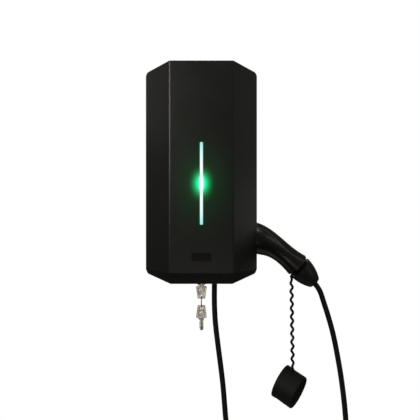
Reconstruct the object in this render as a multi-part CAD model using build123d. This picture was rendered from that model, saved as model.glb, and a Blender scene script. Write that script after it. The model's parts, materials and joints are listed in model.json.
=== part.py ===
from build123d import *
import os
from math import cos, degrees, pi, radians, sin, tan

# Frame: the wall is the plane y = 0, the front faces -Y, +Z is up, and the origin is the middle of the wall
# holes. All sizes are in millimetres and degrees.

# Case
CASE_W = 218.0            # cover at its rear edge
CASE_H = 394.0
COVER_D = 92.0            # cover from its rear edge to the front panel
FRONT_W = 113.0           # flat front panel between the facets
WALL = 3.0
REAR_CORNER_R = 8.0
FACET_EDGE_R = 4.0
BEVEL_H = 22.0            # lower front bevel
BEVEL_D = 12.0
BEVEL_REAR_RISE = 9.0     # corner bevel where it meets the rear edge
BEVEL_FOOT_IN = 8.0       # corner bevel at the bottom, inwards from the facet
RIM_W = 13.0              # sealing flange round the cover's rear opening
BASE_D = 74.0
BASE_INSET = 6.0          # base tray inside the cover's outline
GASKET_T = 2.0
GASKET_W = 2.4
TONGUE_W = 30.0           # tongues that hook under the base's top wall
TONGUE_L = 10.0
TONGUE_T = 3.2
TONGUE_X = 60.0
TONGUE_GAP = 0.4
EDGE_R = 1.2              # moulded outer edges
RIB_T = 2.0               # stiffening ribs behind the panel
RIB_H = 6.0
RIB_X = 34.0
RIB_LOW = 60.0            # lower end of a rib, from the bottom of the cover

# Wall fixing
WALL_HOLE_R = 3.0
WALL_HOLE_IN = 18.0       # hole from the side of the base
WALL_HOLE_DOWN = 19.0     # hole from its top or bottom
WALL_PAD_R = 9.0
WALL_PAD_T = 3.0

# Light strip and front plate
LIGHT_W = 6.2
LIGHT_L = 145.0
LIGHT_Z = -18.0
LIGHT_FLANGE = 4.0
BOSS_H = 5.0
BOSS_R = 4.0
BOSS_STEP = 8.0           # boss beyond the end of the strip
LIGHT_BOARD_T = 1.6
PLATE_W = 35.0
PLATE_H = 15.0
PLATE_T = 1.2
PLATE_UP = 50.0           # middle above the bottom of the cover
PLATE_R = 1.5
SLIP = 0.15               # slip fit of a plate, strip or plug in its seat

# Lock, keys and keeper
LOCK_BACK = 24.5          # lock behind the panel
LOCK_LIP = 1.0
LOCK_FLANGE_T = 3.0
LOCK_CHAMFER = 1.2
LOCK_BARREL_R = 8.0
LOCK_BARREL_L = 31.0
LOCK_PLUG_R = 5.5
RUN_GAP = 0.05            # radial running clearance
LOCK_NUT_WALL = 1.0
LOCK_NUT_T = 4.0
CAM_T = 3.0
CAM_W = 14.0
CAM_L = 29.0
CAM_CORNER_R = 4.6
CAM_SCREW_L = 6.0
KEY_T = 2.2
KEY_BLADE_W = 7.4
KEY_BLADE_L = 22.0
KEY_BOW_W = 19.6
KEY_BOW_H = 23.0
KEY_SHOULDER = 0.8        # slanted shoulder of the bow
KEY_NECK_W = 9.8
KEY_NECK_L = 3.0
KEY_POINT = 2.4
KEY_TIP_W = 13.5
KEY_SLOT_GAP = 0.12
KEY_HOLE_R = 2.0
KEY_HOLE_EDGE = 4.7       # hole centre from the end of the bow
KEY_CORNER_R = 2.5
KEY_CUTS = 4
KEY_CUT_R = 1.3
KEY_CUT_STEP = 0.45       # every second cut is shallower
KEY_SEAT = 0.4            # neck below the lock's face
RING_R = 9.8
RING_WIRE_R = 0.9
HANG_GAP = 0.2
KEEPER_T = 3.0
KEEPER_CLEAR = 5.0        # arm beyond the end of the turned cam
KEEPER_HOOK_L = 16.0
KEEPER_GAP = 3.0          # hook in front of the turned cam
KEEPER_H = 10.0
KEEPER_FOOT_W = 24.0
KEEPER_FOOT_D = 15.0
KEEPER_FOOT_IN = 2.0      # foot behind the rim of the base
KEEPER_SCREW_IN = 5.0
KEEPER_RISE = 10.0        # lower edge of the arm, from the base to the hook

# Holster and connector
HOLSTER_UP = 60.0         # axis above the bottom of the base
HOLSTER_DEPTH = 38.0
HOLSTER_WALL = 2.5
HOLSTER_RIM = 3.1         # square flange beyond the cup
HOLSTER_EDGE = 1.5        # flange inside the depth of the base
HOLSTER_SCREW_IN = 7.5
HOLSTER_FLANGE_T = 3.0
NOSE_L = 34.0
NOSE_WALL = 3.5
NOSE_GAP = 0.4
NOSE_EDGE_R = 1.1
SHOULDER_GAP = 0.6
CARRIER_GAP = 3.4         # round the carrier, for the rim of the vehicle's socket
CARRIER_BACK = 6.0
CARRIER_SETBACK = 3.0     # carrier behind the rim of the nose
CONTACT_R = 4.0
CONTACT_BORE_R = 2.6
CONTACT_EDGE = 5.0        # contact from the edge of the carrier
CONTACT_RING_COUNT = 6
CONTACT_L = 24.0
GRIP_STEP = 1.25          # shoulder beyond the nose
GRIP_NECK_D = 54.0
GRIP_WAIST_D = 44.5
GRIP_HEEL_D = 43.5
GRIP_REAR_D = 50.2
GRIP_END_LEAN = 45.0
GROOVE_W = 8.0
GROOVE_R = 17.0
BELL_L = 41.8
BELL_R = 25.3
BELL_MID_R = 22.2
BELL_END_R = 13.4
BELL_BORE_L = 18.0
CABLE_IN_BELL = 16.0
CABLE_STRAIGHT = 14.0     # straight cable beyond the bell
COLLAR_T = 2.4
COLLAR_W = 4.6
COLLAR_GAP = 0.3
EYE_R = 3.2
EYE_STEM_R = 1.7
EYE_REACH = 29.0          # eye from the axis of the groove
EYE_TURN = 32.0           # eye turned from underneath towards the front

# Dust cap and lanyard
CAP_WALL = 3.5
CAP_L = 43.5
CAP_END_T = 6.0
CAP_RIM_L = 7.0
CAP_RIM_STEP = 0.9
CAP_LEAN = 24.0           # closed end leaning down
CAP_TURN = 33.0           # closed end turned to the front
CAP_CENTRE = (179.6, -45.0, -434.6)
CAP_EDGE_R = 3.0
LUG_BACK = 28.0           # lanyard lug from the cap's closed end
LUG_R = 2.6
LANYARD_R = 4.2           # outer reach of its waves

# Charging cable: points chosen by hand in the plane of the holster, as (x, z) from the run's beginning or end
CABLE_R = 5.5
CABLE_FIT = 0.1
ARC_SHARE = 0.45          # share of a run that the arc at its end takes
GLAND_RUN = [(0, 19), (0, -23), (-0.6, -65), (1.2, -107), (6.2, -149), (12, -193), (17.2, -235), (20.6, -277),
             (24, -320)]
COIL_IN = [(-160, 140), (-141, 100), (-113, 65), (-84, 33), (-67, -4)]
BELL_RUN = [(19.1, -38.8), (29.2, -69.8), (39, -104.8), (46.6, -142.8), (54.1, -184.8), (60.1, -228.8),
            (64.6, -272.8)]
COIL_OUT = [(78.6, 160), (78.2, 116), (74.2, 72), (66.5, 30)]
COIL_ASIDE = 193.0        # coil from the gland
COIL_DROP = 503.0         # coil below the case
COIL_TURN_R = 66.0        # middle of the turns
COIL_LAYERS = 3
TIE_W = 14.0
TIE_T = 1.6

# Glands
GLAND_X = 27.0
SUPPLY_X = -45.0
SUPPLY_BORE_R = 6.5
GLAND_THREAD_R = 10.0
GLAND_NUT_WALL = 2.0      # hexagon beyond the thread
GLAND_HEX_T = 8.0
SEAL_R = 8.2
SEAL_L = 12.0
DOME_BAND = 9.0           # straight band of the dome nut
GLAND_DOME_L = 20.0
GLAND_DOME_R = 12.2
GLAND_MOUTH_R = 9.0
LOCKNUT_T = 5.0
THREAD_END = 8.0          # thread that stands inside the case

# Rail and devices
RAIL_Z = 62.0
RAIL_END_GAP = 8.0        # rail from the side walls
RAIL_H = 35.0
RAIL_INNER_H = 27.0
RAIL_D = 7.5
RAIL_T = 1.0
RAIL_PAD = 4.0
RAIL_PAD_R = 9.0
RAIL_SCREW_IN = 8.0
DEVICE_H = 86.0
DEVICE_NOSE_H = 45.0
DEVICE_BODY_D = 44.0
DEVICE_NOSE_D = 20.0
DEVICE_GAP = 1.0
DEVICE_FIRST = 5.25       # devices from the screws of the rail
BREAKER_COUNT = 4         # modules of each device
CONTACTOR_COUNT = 3
TERMINAL_COUNT = 2
TERMINAL_H = 46.0
TERMINAL_D = 38.0
TERMINAL_CHAMFER = 6.0
TOGGLE_R = 6.0
TOGGLE_W = 44.0
TOGGLE_L = 12.0
TOGGLE_T = 5.0
TOGGLE_EDGE_R = 1.6
TOGGLE_SINK = 2.0         # axis behind the breaker's face
TOGGLE_GAP = 0.4
TOGGLE_LEAN = 32.0
WIRE_R = 1.9
WIRE_HOLE_STEP = 9.0
WIRE_IN = 8.0
CORE_STEP = 4.2
CLAMP_R = 2.6
CLAMP_DEPTH = 3.0
PHASE_COUNT = 3
LOAD_RISE = (0.16, 0.36, 0.58, 0.8)    # turns of the load wires, as shares of their height
LOAD_SPREAD = 0.3
FEEDER_LEAN = 2.4
FEEDER_FIRST = -6.0
FEEDER_STEP = 6.0
FEEDER_STEM = 22.0
FEEDER_RISE = 34.0
FEEDER_SAG = 10.0

# Control board
BOARD_H = 96.0
BOARD_T = 1.6
BOARD_SIDE_GAP = 10.0     # board from the left wall
BOARD_CUP_GAP = 27.0      # board from the holster cup
BOARD_Z = -66.0
BOARD_STAND = 10.0
BOARD_HOLE_IN = 5.0
STANDOFF_R = 3.5
STANDOFF_HOLE = 9.0
RELAY_COUNT = 3
RELAY_FIRST = 14.0
RELAY_STEP = 24.0
RELAY_W = 19.0
RELAY_H = 15.0
RELAY_D = 14.0
CAPACITOR_R = 6.3
CAPACITOR_H = 12.6
CHIP = 18.0

# Screws
SCREW_R = 1.5
SCREW_HEAD_R = 2.9
SCREW_HEAD_T = 2.0
SCREW_CHAMFER = 0.6
SCREW_END_GAP = 0.3       # between a screw and the end of its hole
PILOT_DEPTH = 2.4         # blind screw hole in a wall

# Places that follow from the sizes above
COVER_Y = -(BASE_D + GASKET_T)
FRONT_Y = COVER_Y - COVER_D
INNER_FRONT_Y = FRONT_Y + WALL
FACET_RUN = (CASE_W - FRONT_W) / 2
TOP_Z = CASE_H / 2
BASE_HALF_W = CASE_W / 2 - BASE_INSET
BASE_HALF_H = CASE_H / 2 - BASE_INSET
BASE_FLOOR_Z = -BASE_HALF_H + WALL
WALL_HOLES_W = 2 * (BASE_HALF_W - WALL_HOLE_IN)
WALL_HOLES_H = 2 * (BASE_HALF_H - WALL_HOLE_DOWN)
HEX_FLAT = cos(pi / 6)
LOCK_Y = FRONT_Y + LOCK_BACK
LOCK_FACE_Z = -TOP_Z - LOCK_FLANGE_T
LOCK_NUT_R = (LOCK_BARREL_R + LOCK_NUT_WALL) / HEX_FLAT
CAM_Z = -TOP_Z + LOCK_BARREL_L + RUN_GAP
KEY_SHOULDER_Z = LOCK_FACE_Z - KEY_SEAT - KEY_NECK_L
KEY_HOLE_Z = KEY_SHOULDER_Z - KEY_BOW_H + KEY_HOLE_EDGE
RING_TOP_Z = KEY_HOLE_Z - KEY_HOLE_R + RING_WIRE_R + HANG_GAP
RING_Z = RING_TOP_Z - RING_R
SPARE_HOLE_Z = RING_Z - RING_R + RING_WIRE_R + HANG_GAP - KEY_HOLE_R
SPARE_SHOULDER_Z = SPARE_HOLE_Z + KEY_HOLE_EDGE - KEY_BOW_H
KEEPER_X = CAM_L + KEEPER_CLEAR
KEEPER_Y = LOCK_Y - CAM_W / 2 - KEEPER_GAP - KEEPER_T
KEEPER_LOW_Z = CAM_Z + CAM_T / 2 - KEEPER_H / 2
KEEPER_FOOT_Y = -BASE_D + KEEPER_FOOT_IN
HOLSTER_Y = COVER_Y / 2
HOLSTER_Z = -BASE_HALF_H + HOLSTER_UP
HOLSTER_FLANGE_HALF = BASE_D / 2 - HOLSTER_EDGE
HOLSTER_R = HOLSTER_FLANGE_HALF - HOLSTER_RIM
NOSE_R = HOLSTER_R - HOLSTER_WALL - NOSE_GAP
SHOULDER_X = BASE_HALF_W + HOLSTER_FLANGE_T + SHOULDER_GAP
CARRIER_R = NOSE_R - NOSE_WALL - CARRIER_GAP
CONTACT_PCD_R = CARRIER_R - CONTACT_R - CONTACT_EDGE
GRIP_FRONT_D = 2 * (NOSE_R + GRIP_STEP)
CAP_R = NOSE_R + NOSE_GAP + CAP_WALL + CAP_RIM_STEP
COIL_X = GLAND_X + COIL_ASIDE
COIL_Z = -TOP_Z - COIL_DROP
GLAND_HEX_R = (GLAND_THREAD_R + GLAND_NUT_WALL) / HEX_FLAT
GLAND_DOME_Z = -BASE_HALF_H - GLAND_HEX_T - GLAND_DOME_L
RAIL_L = 2 * (BASE_HALF_W - WALL - RAIL_END_GAP)
RAIL_FACE_Y = -(WALL + RAIL_PAD + RAIL_D)
MODULE_COUNT = TERMINAL_COUNT + BREAKER_COUNT + CONTACTOR_COUNT
MODULE_W = (RAIL_L - 2 * (RAIL_SCREW_IN + DEVICE_FIRST)) / MODULE_COUNT
TERMINAL_X = -RAIL_L / 2 + RAIL_SCREW_IN + DEVICE_FIRST
BREAKER_X = TERMINAL_X + TERMINAL_COUNT * MODULE_W
CONTACTOR_X = BREAKER_X + BREAKER_COUNT * MODULE_W
DEVICE_BACK_Y = RAIL_FACE_Y
WIRE_Y = DEVICE_BACK_Y - DEVICE_BODY_D / 2
CLAMP_Z = (DEVICE_H + DEVICE_NOSE_H) / 4
BOARD_LEFT = -(BASE_HALF_W - WALL) + BOARD_SIDE_GAP
BOARD_W = BASE_HALF_W - HOLSTER_DEPTH - BOARD_CUP_GAP - BOARD_LEFT
BOARD_Y = -(WALL + BOARD_STAND)
BOARD_LOW = BOARD_Z - BOARD_H / 2

parts = {}


def block(x0, x1, y0, y1, z0, z1):
    """Box between two opposite corners."""
    return Pos((x0 + x1) / 2, (y0 + y1) / 2, (z0 + z1) / 2) * Box(abs(x1 - x0), abs(y1 - y0), abs(z1 - z0))


def rod(start, direction, radius, length):
    """Cylinder that grows from a point along a direction."""
    return Plane(origin=start, z_dir=direction) * extrude(Circle(radius), amount=length)


def screw(seat, direction, shank_l):
    """Pan head that sits on a face, with its shank going in along the direction."""
    out = Vector(*direction) * -1
    head = rod(seat, out, SCREW_HEAD_R, SCREW_HEAD_T)
    head = chamfer(head.edges().sort_by(Axis(seat, out))[-1:], SCREW_CHAMFER)
    return head + rod(seat, direction, SCREW_R, shank_l)


def group(solids):
    """Several separate solids in one node."""
    return Compound(children=list(solids))


def tube(points, radius):
    """Round tube on straight runs joined by arcs as large as the runs allow."""
    path = [Vector(*p) for p in points]
    radii = []
    for before, here, after in zip(path, path[1:], path[2:]):
        turn = radians((here - before).get_angle(after - here))
        shorter = min((here - before).length, (after - here).length)
        radii.append(ARC_SHARE * shorter / tan(turn / 2))
    line = FilletPolyline(*path, radius=radii)
    section = Plane(origin=path[0], z_dir=path[1] - path[0]) * Circle(radius)
    solid = sweep(section, path=line)
    share = solid.volume / (pi * radius**2 * line.length)
    print(f"tube {line.length:.0f} long, volume share {share:.4f}, radii", [round(r) for r in radii])
    return solid


# Cover form, made once for the outside and once, inset by the wall, for the hollow
def facet_half_w(y, inset):
    """Half width between the facets at a depth, moved in by the wall thickness."""
    slope = FACET_RUN / COVER_D
    return FRONT_W / 2 + (y - FRONT_Y) * slope - inset * (1 + slope**2) ** 0.5


def cut_below(solid, a, b, c, inset):
    """Cut away what lies below the plane through three points, moved in by the wall thickness."""
    normal = (Vector(*b) - Vector(*a)).cross(Vector(*c) - Vector(*a)).normalized()
    if normal.Z > 0:
        normal = normal * -1
    reach = CASE_H * 2
    plane = Plane(origin=Vector(*a) - normal * inset, z_dir=normal)
    return solid - plane * extrude(Rectangle(reach, reach), amount=CASE_H)


def cover_form(inset, rear_y, edge_r):
    """Faceted prism with bevelled lower edges, rounded outer edges and rounded rear corners."""
    front = FRONT_Y + inset
    half_h = TOP_Z - inset
    rear_half_w = facet_half_w(rear_y, inset)
    corners = [(-rear_half_w, rear_y), (rear_half_w, rear_y),
               (facet_half_w(front, inset), front), (-facet_half_w(front, inset), front)]
    outline = make_face(Polyline(*corners, close=True))
    outline = fillet(outline.vertices().sort_by(Axis.Y)[:2], FACET_EDGE_R)
    form = Pos(0, 0, -half_h) * extrude(outline, amount=2 * half_h)
    bevel_top = -TOP_Z + BEVEL_H
    foot_y = FRONT_Y + BEVEL_D
    form = cut_below(form, (0, FRONT_Y, bevel_top), (1, FRONT_Y, bevel_top), (0, foot_y, -TOP_Z), inset)
    foot_x = facet_half_w(foot_y, 0) - BEVEL_FOOT_IN
    for side in (-1, 1):
        form = cut_below(form, (side * FRONT_W / 2, FRONT_Y, bevel_top),
                         (side * CASE_W / 2, COVER_Y, -TOP_Z + BEVEL_REAR_RISE),
                         (side * foot_x, foot_y, -TOP_Z), inset)
    if edge_r:
        edges = [e for e in form.edges() if e.vertices().sort_by(Axis.Y)[0].Y < rear_y - edge_r]
        form = fillet(edges, edge_r)
    frame = Plane.XZ * RectangleRounded(2 * rear_half_w, 2 * half_h, REAR_CORNER_R)
    return form & extrude(frame, amount=-2 * FRONT_Y, both=True)


def front_cover():
    """Moulded shell with sealing flange, tongues, bosses and the openings for light and lock."""
    hollow = cover_form(WALL, COVER_Y - WALL, 0)
    opening = block(-CASE_W / 2 + RIM_W, CASE_W / 2 - RIM_W, COVER_Y - 2 * WALL, COVER_Y + WALL,
                    -TOP_Z + RIM_W, TOP_Z - RIM_W)
    shell = cover_form(0, COVER_Y, EDGE_R) - hollow - opening
    tongue_top = BASE_HALF_H - WALL - TONGUE_GAP
    for side in (-1, 1):
        shell += block(side * TONGUE_X - TONGUE_W / 2, side * TONGUE_X + TONGUE_W / 2,
                       COVER_Y - WALL, COVER_Y + TONGUE_L, tongue_top - TONGUE_T, tongue_top)
        shell += block(side * RIB_X - RIB_T / 2, side * RIB_X + RIB_T / 2, INNER_FRONT_Y - RUN_GAP,
                       INNER_FRONT_Y + RIB_H, -TOP_Z + RIB_LOW, TOP_Z - WALL)
    for z in boss_heights():
        shell += rod((0, INNER_FRONT_Y, z), (0, 1, 0), BOSS_R, BOSS_H)
        shell -= rod((0, INNER_FRONT_Y, z), (0, 1, 0), SCREW_R + RUN_GAP, BOSS_H)
    shell -= light_slot(LIGHT_W, LIGHT_L, FRONT_Y - WALL, 3 * WALL)
    shell -= plate_form(PLATE_W + 2 * SLIP, PLATE_H + 2 * SLIP)
    shell -= rod((0, LOCK_Y, -TOP_Z - WALL), (0, 0, 1), LOCK_BARREL_R + RUN_GAP, 3 * WALL)
    return shell


def boss_heights():
    """Heights of the two light board bosses."""
    reach = LIGHT_L / 2 + BOSS_STEP
    return (LIGHT_Z - reach, LIGHT_Z + reach)


def light_slot(width, length, y, depth):
    """Upright slot form with round ends."""
    profile = Plane(origin=(0, y, LIGHT_Z), z_dir=(0, 1, 0), x_dir=(0, 0, 1)) * SlotOverall(length, width)
    return extrude(profile, amount=depth)


def plate_form(width, height):
    """Front plate, flush with the panel."""
    face = Plane(origin=(0, FRONT_Y, -TOP_Z + PLATE_UP), x_dir=(1, 0, 0), z_dir=(0, 1, 0))
    return extrude(face * RectangleRounded(width, height, PLATE_R), amount=PLATE_T)


def light_guide():
    """Clear bar in the slot, with a flange behind the panel."""
    bar = light_slot(LIGHT_W - 2 * SLIP, LIGHT_L - 2 * SLIP, FRONT_Y, WALL)
    flange = light_slot(LIGHT_W + 2 * LIGHT_FLANGE, LIGHT_L + LIGHT_FLANGE, INNER_FRONT_Y, BOSS_H)
    return bar + flange


def light_board():
    """Narrow circuit board screwed to the bosses behind the light guide."""
    low, high = boss_heights()
    y = INNER_FRONT_Y + BOSS_H
    board = block(-LIGHT_W, LIGHT_W, y, y + LIGHT_BOARD_T, low - BOSS_R, high + BOSS_R)
    for z in (low, high):
        board -= rod((0, y, z), (0, 1, 0), SCREW_R + SLIP, LIGHT_BOARD_T)
    return board


def light_board_screws():
    """Two screws from behind into the bosses."""
    seat = INNER_FRONT_Y + BOSS_H + LIGHT_BOARD_T
    length = LIGHT_BOARD_T + BOSS_H - SCREW_END_GAP
    return group(screw((0, seat, z), (0, -1, 0), length) for z in boss_heights())


parts["front_cover"] = front_cover()
parts["light_guide"] = light_guide()
parts["light_board"] = light_board()
parts["light_board_screws"] = light_board_screws()
parts["front_plate"] = plate_form(PLATE_W, PLATE_H)


# Base tray and what seals and carries it
def tray_face(inset):
    """Rounded outline of the base tray on the wall plane."""
    width = 2 * (BASE_HALF_W - inset)
    return Plane.XZ * RectangleRounded(width, 2 * (BASE_HALF_H - inset), REAR_CORNER_R - inset)


def wall_holes():
    """Centres of the four wall screws."""
    return [(x * WALL_HOLES_W / 2, z * WALL_HOLES_H / 2) for x in (-1, 1) for z in (-1, 1)]


def holster_screw_places():
    """Corner screws of the square holster flange, as (y, z)."""
    step = HOLSTER_FLANGE_HALF - HOLSTER_SCREW_IN
    return [(HOLSTER_Y + i * step, HOLSTER_Z + j * step) for i in (-1, 1) for j in (-1, 1)]


def keeper_screw_places():
    """Two screws through the keeper's foot, as (x, y)."""
    first = KEEPER_X + KEEPER_T + KEEPER_SCREW_IN
    last = KEEPER_X + KEEPER_FOOT_W - KEEPER_SCREW_IN
    return [(x, KEEPER_FOOT_Y + KEEPER_FOOT_D / 2) for x in (first, last)]


def rail_screw_places():
    """Two screws through the rail, on the pads of the base."""
    return [(-RAIL_L / 2 + RAIL_SCREW_IN, RAIL_Z), (RAIL_L / 2 - RAIL_SCREW_IN, RAIL_Z)]


def base_tray():
    """Open tray with wall pads, rail pads and the openings for glands and holster."""
    tray = extrude(tray_face(0), amount=BASE_D)
    tray -= Pos(0, -WALL, 0) * extrude(tray_face(WALL), amount=BASE_D)
    for x, z in wall_holes():
        tray += rod((x, -WALL, z), (0, -1, 0), WALL_PAD_R, WALL_PAD_T)
        tray -= rod((x, 0, z), (0, -1, 0), WALL_HOLE_R, WALL + WALL_PAD_T)
    for x, z in rail_screw_places():
        tray += rod((x, -WALL, z), (0, -1, 0), RAIL_PAD_R, RAIL_PAD)
        tray -= rod((x, -WALL - RAIL_PAD, z), (0, 1, 0), SCREW_R + RUN_GAP, RAIL_PAD)
    for x in (GLAND_X, SUPPLY_X):
        tray -= rod((x, HOLSTER_Y, -BASE_HALF_H), (0, 0, 1), GLAND_THREAD_R + SLIP, WALL)
    tray -= rod((BASE_HALF_W - WALL, HOLSTER_Y, HOLSTER_Z), (1, 0, 0), HOLSTER_R + SLIP, WALL)
    for y, z in holster_screw_places():
        tray -= rod((BASE_HALF_W, y, z), (-1, 0, 0), SCREW_R + RUN_GAP, PILOT_DEPTH)
    for x, y in keeper_screw_places():
        tray -= rod((x, y, BASE_FLOOR_Z), (0, 0, -1), SCREW_R + RUN_GAP, PILOT_DEPTH)
    return tray


def case_gasket():
    """Rubber frame on the rim of the tray."""
    margin = (WALL - GASKET_W) / 2
    ring = tray_face(margin) - tray_face(margin + GASKET_W)
    return Pos(0, -BASE_D, 0) * extrude(ring, amount=GASKET_T)


def holster_cup():
    """Cup in the right wall that takes the nose of the connector."""
    start = BASE_HALF_W - HOLSTER_DEPTH
    flange = Plane(origin=(BASE_HALF_W, HOLSTER_Y, HOLSTER_Z), x_dir=(0, 1, 0), z_dir=(1, 0, 0))
    square = RectangleRounded(2 * HOLSTER_FLANGE_HALF, 2 * HOLSTER_FLANGE_HALF, HOLSTER_SCREW_IN)
    cup = flange * extrude(square, amount=HOLSTER_FLANGE_T)
    cup += rod((start, HOLSTER_Y, HOLSTER_Z), (1, 0, 0), HOLSTER_R, HOLSTER_DEPTH)
    cup -= rod((start + HOLSTER_WALL, HOLSTER_Y, HOLSTER_Z), (1, 0, 0), NOSE_R + NOSE_GAP,
               HOLSTER_DEPTH + HOLSTER_FLANGE_T)
    for y, z in holster_screw_places():
        cup -= rod((BASE_HALF_W, y, z), (1, 0, 0), SCREW_R + SLIP, HOLSTER_FLANGE_T)
    return cup


def holster_screws():
    """Four screws in the corners of the holster flange."""
    seat = BASE_HALF_W + HOLSTER_FLANGE_T
    length = HOLSTER_FLANGE_T + PILOT_DEPTH - SCREW_END_GAP
    return group(screw((seat, y, z), (-1, 0, 0), length) for y, z in holster_screw_places())


parts["base_tray"] = base_tray()
parts["case_gasket"] = case_gasket()
parts["holster_cup"] = holster_cup()
parts["holster_screws"] = holster_screws()


# Lock, keys and keeper
def lock_body():
    """Flanged barrel that stands in the bottom wall of the cover."""
    flange = rod((0, LOCK_Y, -TOP_Z), (0, 0, -1), LOCK_BARREL_R + LOCK_LIP, LOCK_FLANGE_T)
    flange = chamfer(flange.edges().group_by(Axis.Z)[0], LOCK_CHAMFER)
    body = flange + rod((0, LOCK_Y, -TOP_Z), (0, 0, 1), LOCK_BARREL_R, LOCK_BARREL_L)
    bore_l = LOCK_FLANGE_T + LOCK_BARREL_L
    return body - rod((0, LOCK_Y, LOCK_FACE_Z), (0, 0, 1), LOCK_PLUG_R + RUN_GAP, bore_l)


def lock_nut():
    """Hexagon nut on the barrel, inside the cover."""
    nut = Pos(0, LOCK_Y, -TOP_Z + WALL) * extrude(RegularPolygon(LOCK_NUT_R, 6), amount=LOCK_NUT_T)
    return nut - rod((0, LOCK_Y, -TOP_Z), (0, 0, 1), LOCK_BARREL_R + RUN_GAP, LOCK_BARREL_L)


def lock_plug():
    """Turning core with the key slot below and the cam screw's hole above."""
    plug = rod((0, LOCK_Y, LOCK_FACE_Z), (0, 0, 1), LOCK_PLUG_R, CAM_Z - LOCK_FACE_Z)
    half_w = KEY_BLADE_W / 2 + KEY_SLOT_GAP
    half_t = KEY_T / 2 + KEY_SLOT_GAP
    plug -= block(-half_w, half_w, LOCK_Y - half_t, LOCK_Y + half_t, LOCK_FACE_Z, LOCK_FACE_Z + KEY_BLADE_L)
    return plug - rod((0, LOCK_Y, CAM_Z), (0, 0, -1), SCREW_R + RUN_GAP, CAM_SCREW_L)


def lock_cam():
    """Flat cam on the plug; it points to the wall when the lock is open."""
    arm = Pos(0, LOCK_Y + CAM_L / 2, 0) * RectangleRounded(CAM_W, CAM_L + CAM_W, CAM_CORNER_R)
    cam = Pos(0, 0, CAM_Z) * extrude(arm, amount=CAM_T)
    cam -= block(-CAM_W, CAM_W, LOCK_Y + CAM_L, LOCK_Y + 2 * CAM_L, CAM_Z, CAM_Z + CAM_T)
    return cam - rod((0, LOCK_Y, CAM_Z), (0, 0, 1), SCREW_R + SLIP, CAM_T)


def key_form():
    """Flat key with its shoulder at the origin, the blade upwards and the bow below."""
    bow = Polyline((KEY_NECK_W / 2, 0), (KEY_BOW_W / 2, -KEY_SHOULDER), (KEY_TIP_W / 2, -KEY_BOW_H),
                   (-KEY_TIP_W / 2, -KEY_BOW_H), (-KEY_BOW_W / 2, -KEY_SHOULDER), (-KEY_NECK_W / 2, 0),
                   close=True)
    outline = make_face(bow)
    outline = fillet(outline.vertices().sort_by(Axis.Y)[:4], KEY_CORNER_R)
    outline += Pos(0, KEY_NECK_L / 2) * Rectangle(KEY_NECK_W, KEY_NECK_L)
    side = KEY_BLADE_W / 2
    blade = Polyline((-side, 0), (side, 0), (side, KEY_BLADE_L - KEY_POINT), (side - KEY_POINT, KEY_BLADE_L),
                     (-side + KEY_POINT, KEY_BLADE_L), (-side, KEY_BLADE_L - KEY_POINT), close=True)
    outline += make_face(blade)
    outline -= Pos(0, -KEY_BOW_H + KEY_HOLE_EDGE) * Circle(KEY_HOLE_R)
    for cut in range(KEY_CUTS):
        height = KEY_BLADE_L * (cut + 1) / (KEY_CUTS + 1)
        outline -= Pos(side + KEY_CUT_STEP * (cut % 2), height) * Circle(KEY_CUT_R)
    return extrude(Plane.XZ * outline, amount=KEY_T / 2, both=True)


def key_ring():
    """Wire ring, seen edge-on from the front."""
    return Plane(origin=(0, LOCK_Y, RING_Z), z_dir=(1, 0, 0)) * Torus(RING_R, RING_WIRE_R)


def keeper_bracket():
    """Folded bracket from the base floor; the turned cam catches behind its hook."""
    rear = KEEPER_FOOT_Y + KEEPER_FOOT_D
    side = Polyline((rear, BASE_FLOOR_Z), (KEEPER_FOOT_Y, BASE_FLOOR_Z),
                    (KEEPER_FOOT_Y, KEEPER_LOW_Z - KEEPER_RISE), (KEEPER_Y, KEEPER_LOW_Z),
                    (KEEPER_Y, KEEPER_LOW_Z + KEEPER_H),
                    (rear, KEEPER_LOW_Z + KEEPER_H), close=True)
    arm = Pos(KEEPER_X, 0, 0) * extrude(Plane.YZ * make_face(side), amount=KEEPER_T)
    foot = block(KEEPER_X, KEEPER_X + KEEPER_FOOT_W, KEEPER_FOOT_Y, rear,
                 BASE_FLOOR_Z, BASE_FLOOR_Z + KEEPER_T)
    hook = block(KEEPER_X - KEEPER_HOOK_L, KEEPER_X + KEEPER_T, KEEPER_Y, KEEPER_Y + KEEPER_T,
                 KEEPER_LOW_Z, KEEPER_LOW_Z + KEEPER_H)
    bracket = arm + foot + hook
    for x, y in keeper_screw_places():
        bracket -= rod((x, y, BASE_FLOOR_Z), (0, 0, 1), SCREW_R + SLIP, KEEPER_T)
    return bracket


def keeper_screws():
    """Two screws through the foot into the base floor."""
    seat = BASE_FLOOR_Z + KEEPER_T
    length = KEEPER_T + PILOT_DEPTH - SCREW_END_GAP
    return group(screw((x, y, seat), (0, 0, -1), length) for x, y in keeper_screw_places())


parts["lock_body"] = lock_body()
parts["lock_nut"] = lock_nut()
parts["lock_plug"] = lock_plug()
parts["lock_cam"] = lock_cam()
parts["cam_screw"] = screw((0, LOCK_Y, CAM_Z + CAM_T), (0, 0, -1), CAM_T + CAM_SCREW_L - SCREW_END_GAP)
parts["lock_key"] = Pos(0, LOCK_Y, KEY_SHOULDER_Z) * key_form()
parts["key_ring"] = key_ring()
parts["spare_key"] = Pos(0, LOCK_Y, SPARE_SHOULDER_Z) * Rot(0, 180, 0) * key_form()
parts["keeper_bracket"] = keeper_bracket()
parts["keeper_screws"] = keeper_screws()


# Cable glands in the base floor
def gland_body(x, bore_r):
    """Hexagon under the floor with a thread that goes through it."""
    hexagon = extrude(RegularPolygon(GLAND_HEX_R, 6), amount=GLAND_HEX_T)
    body = Pos(x, HOLSTER_Y, -BASE_HALF_H - GLAND_HEX_T) * hexagon
    body += rod((x, HOLSTER_Y, -BASE_HALF_H), (0, 0, 1), GLAND_THREAD_R, WALL + THREAD_END)
    return body - rod((x, HOLSTER_Y, GLAND_DOME_Z), (0, 0, 1), bore_r, CASE_H)


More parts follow.
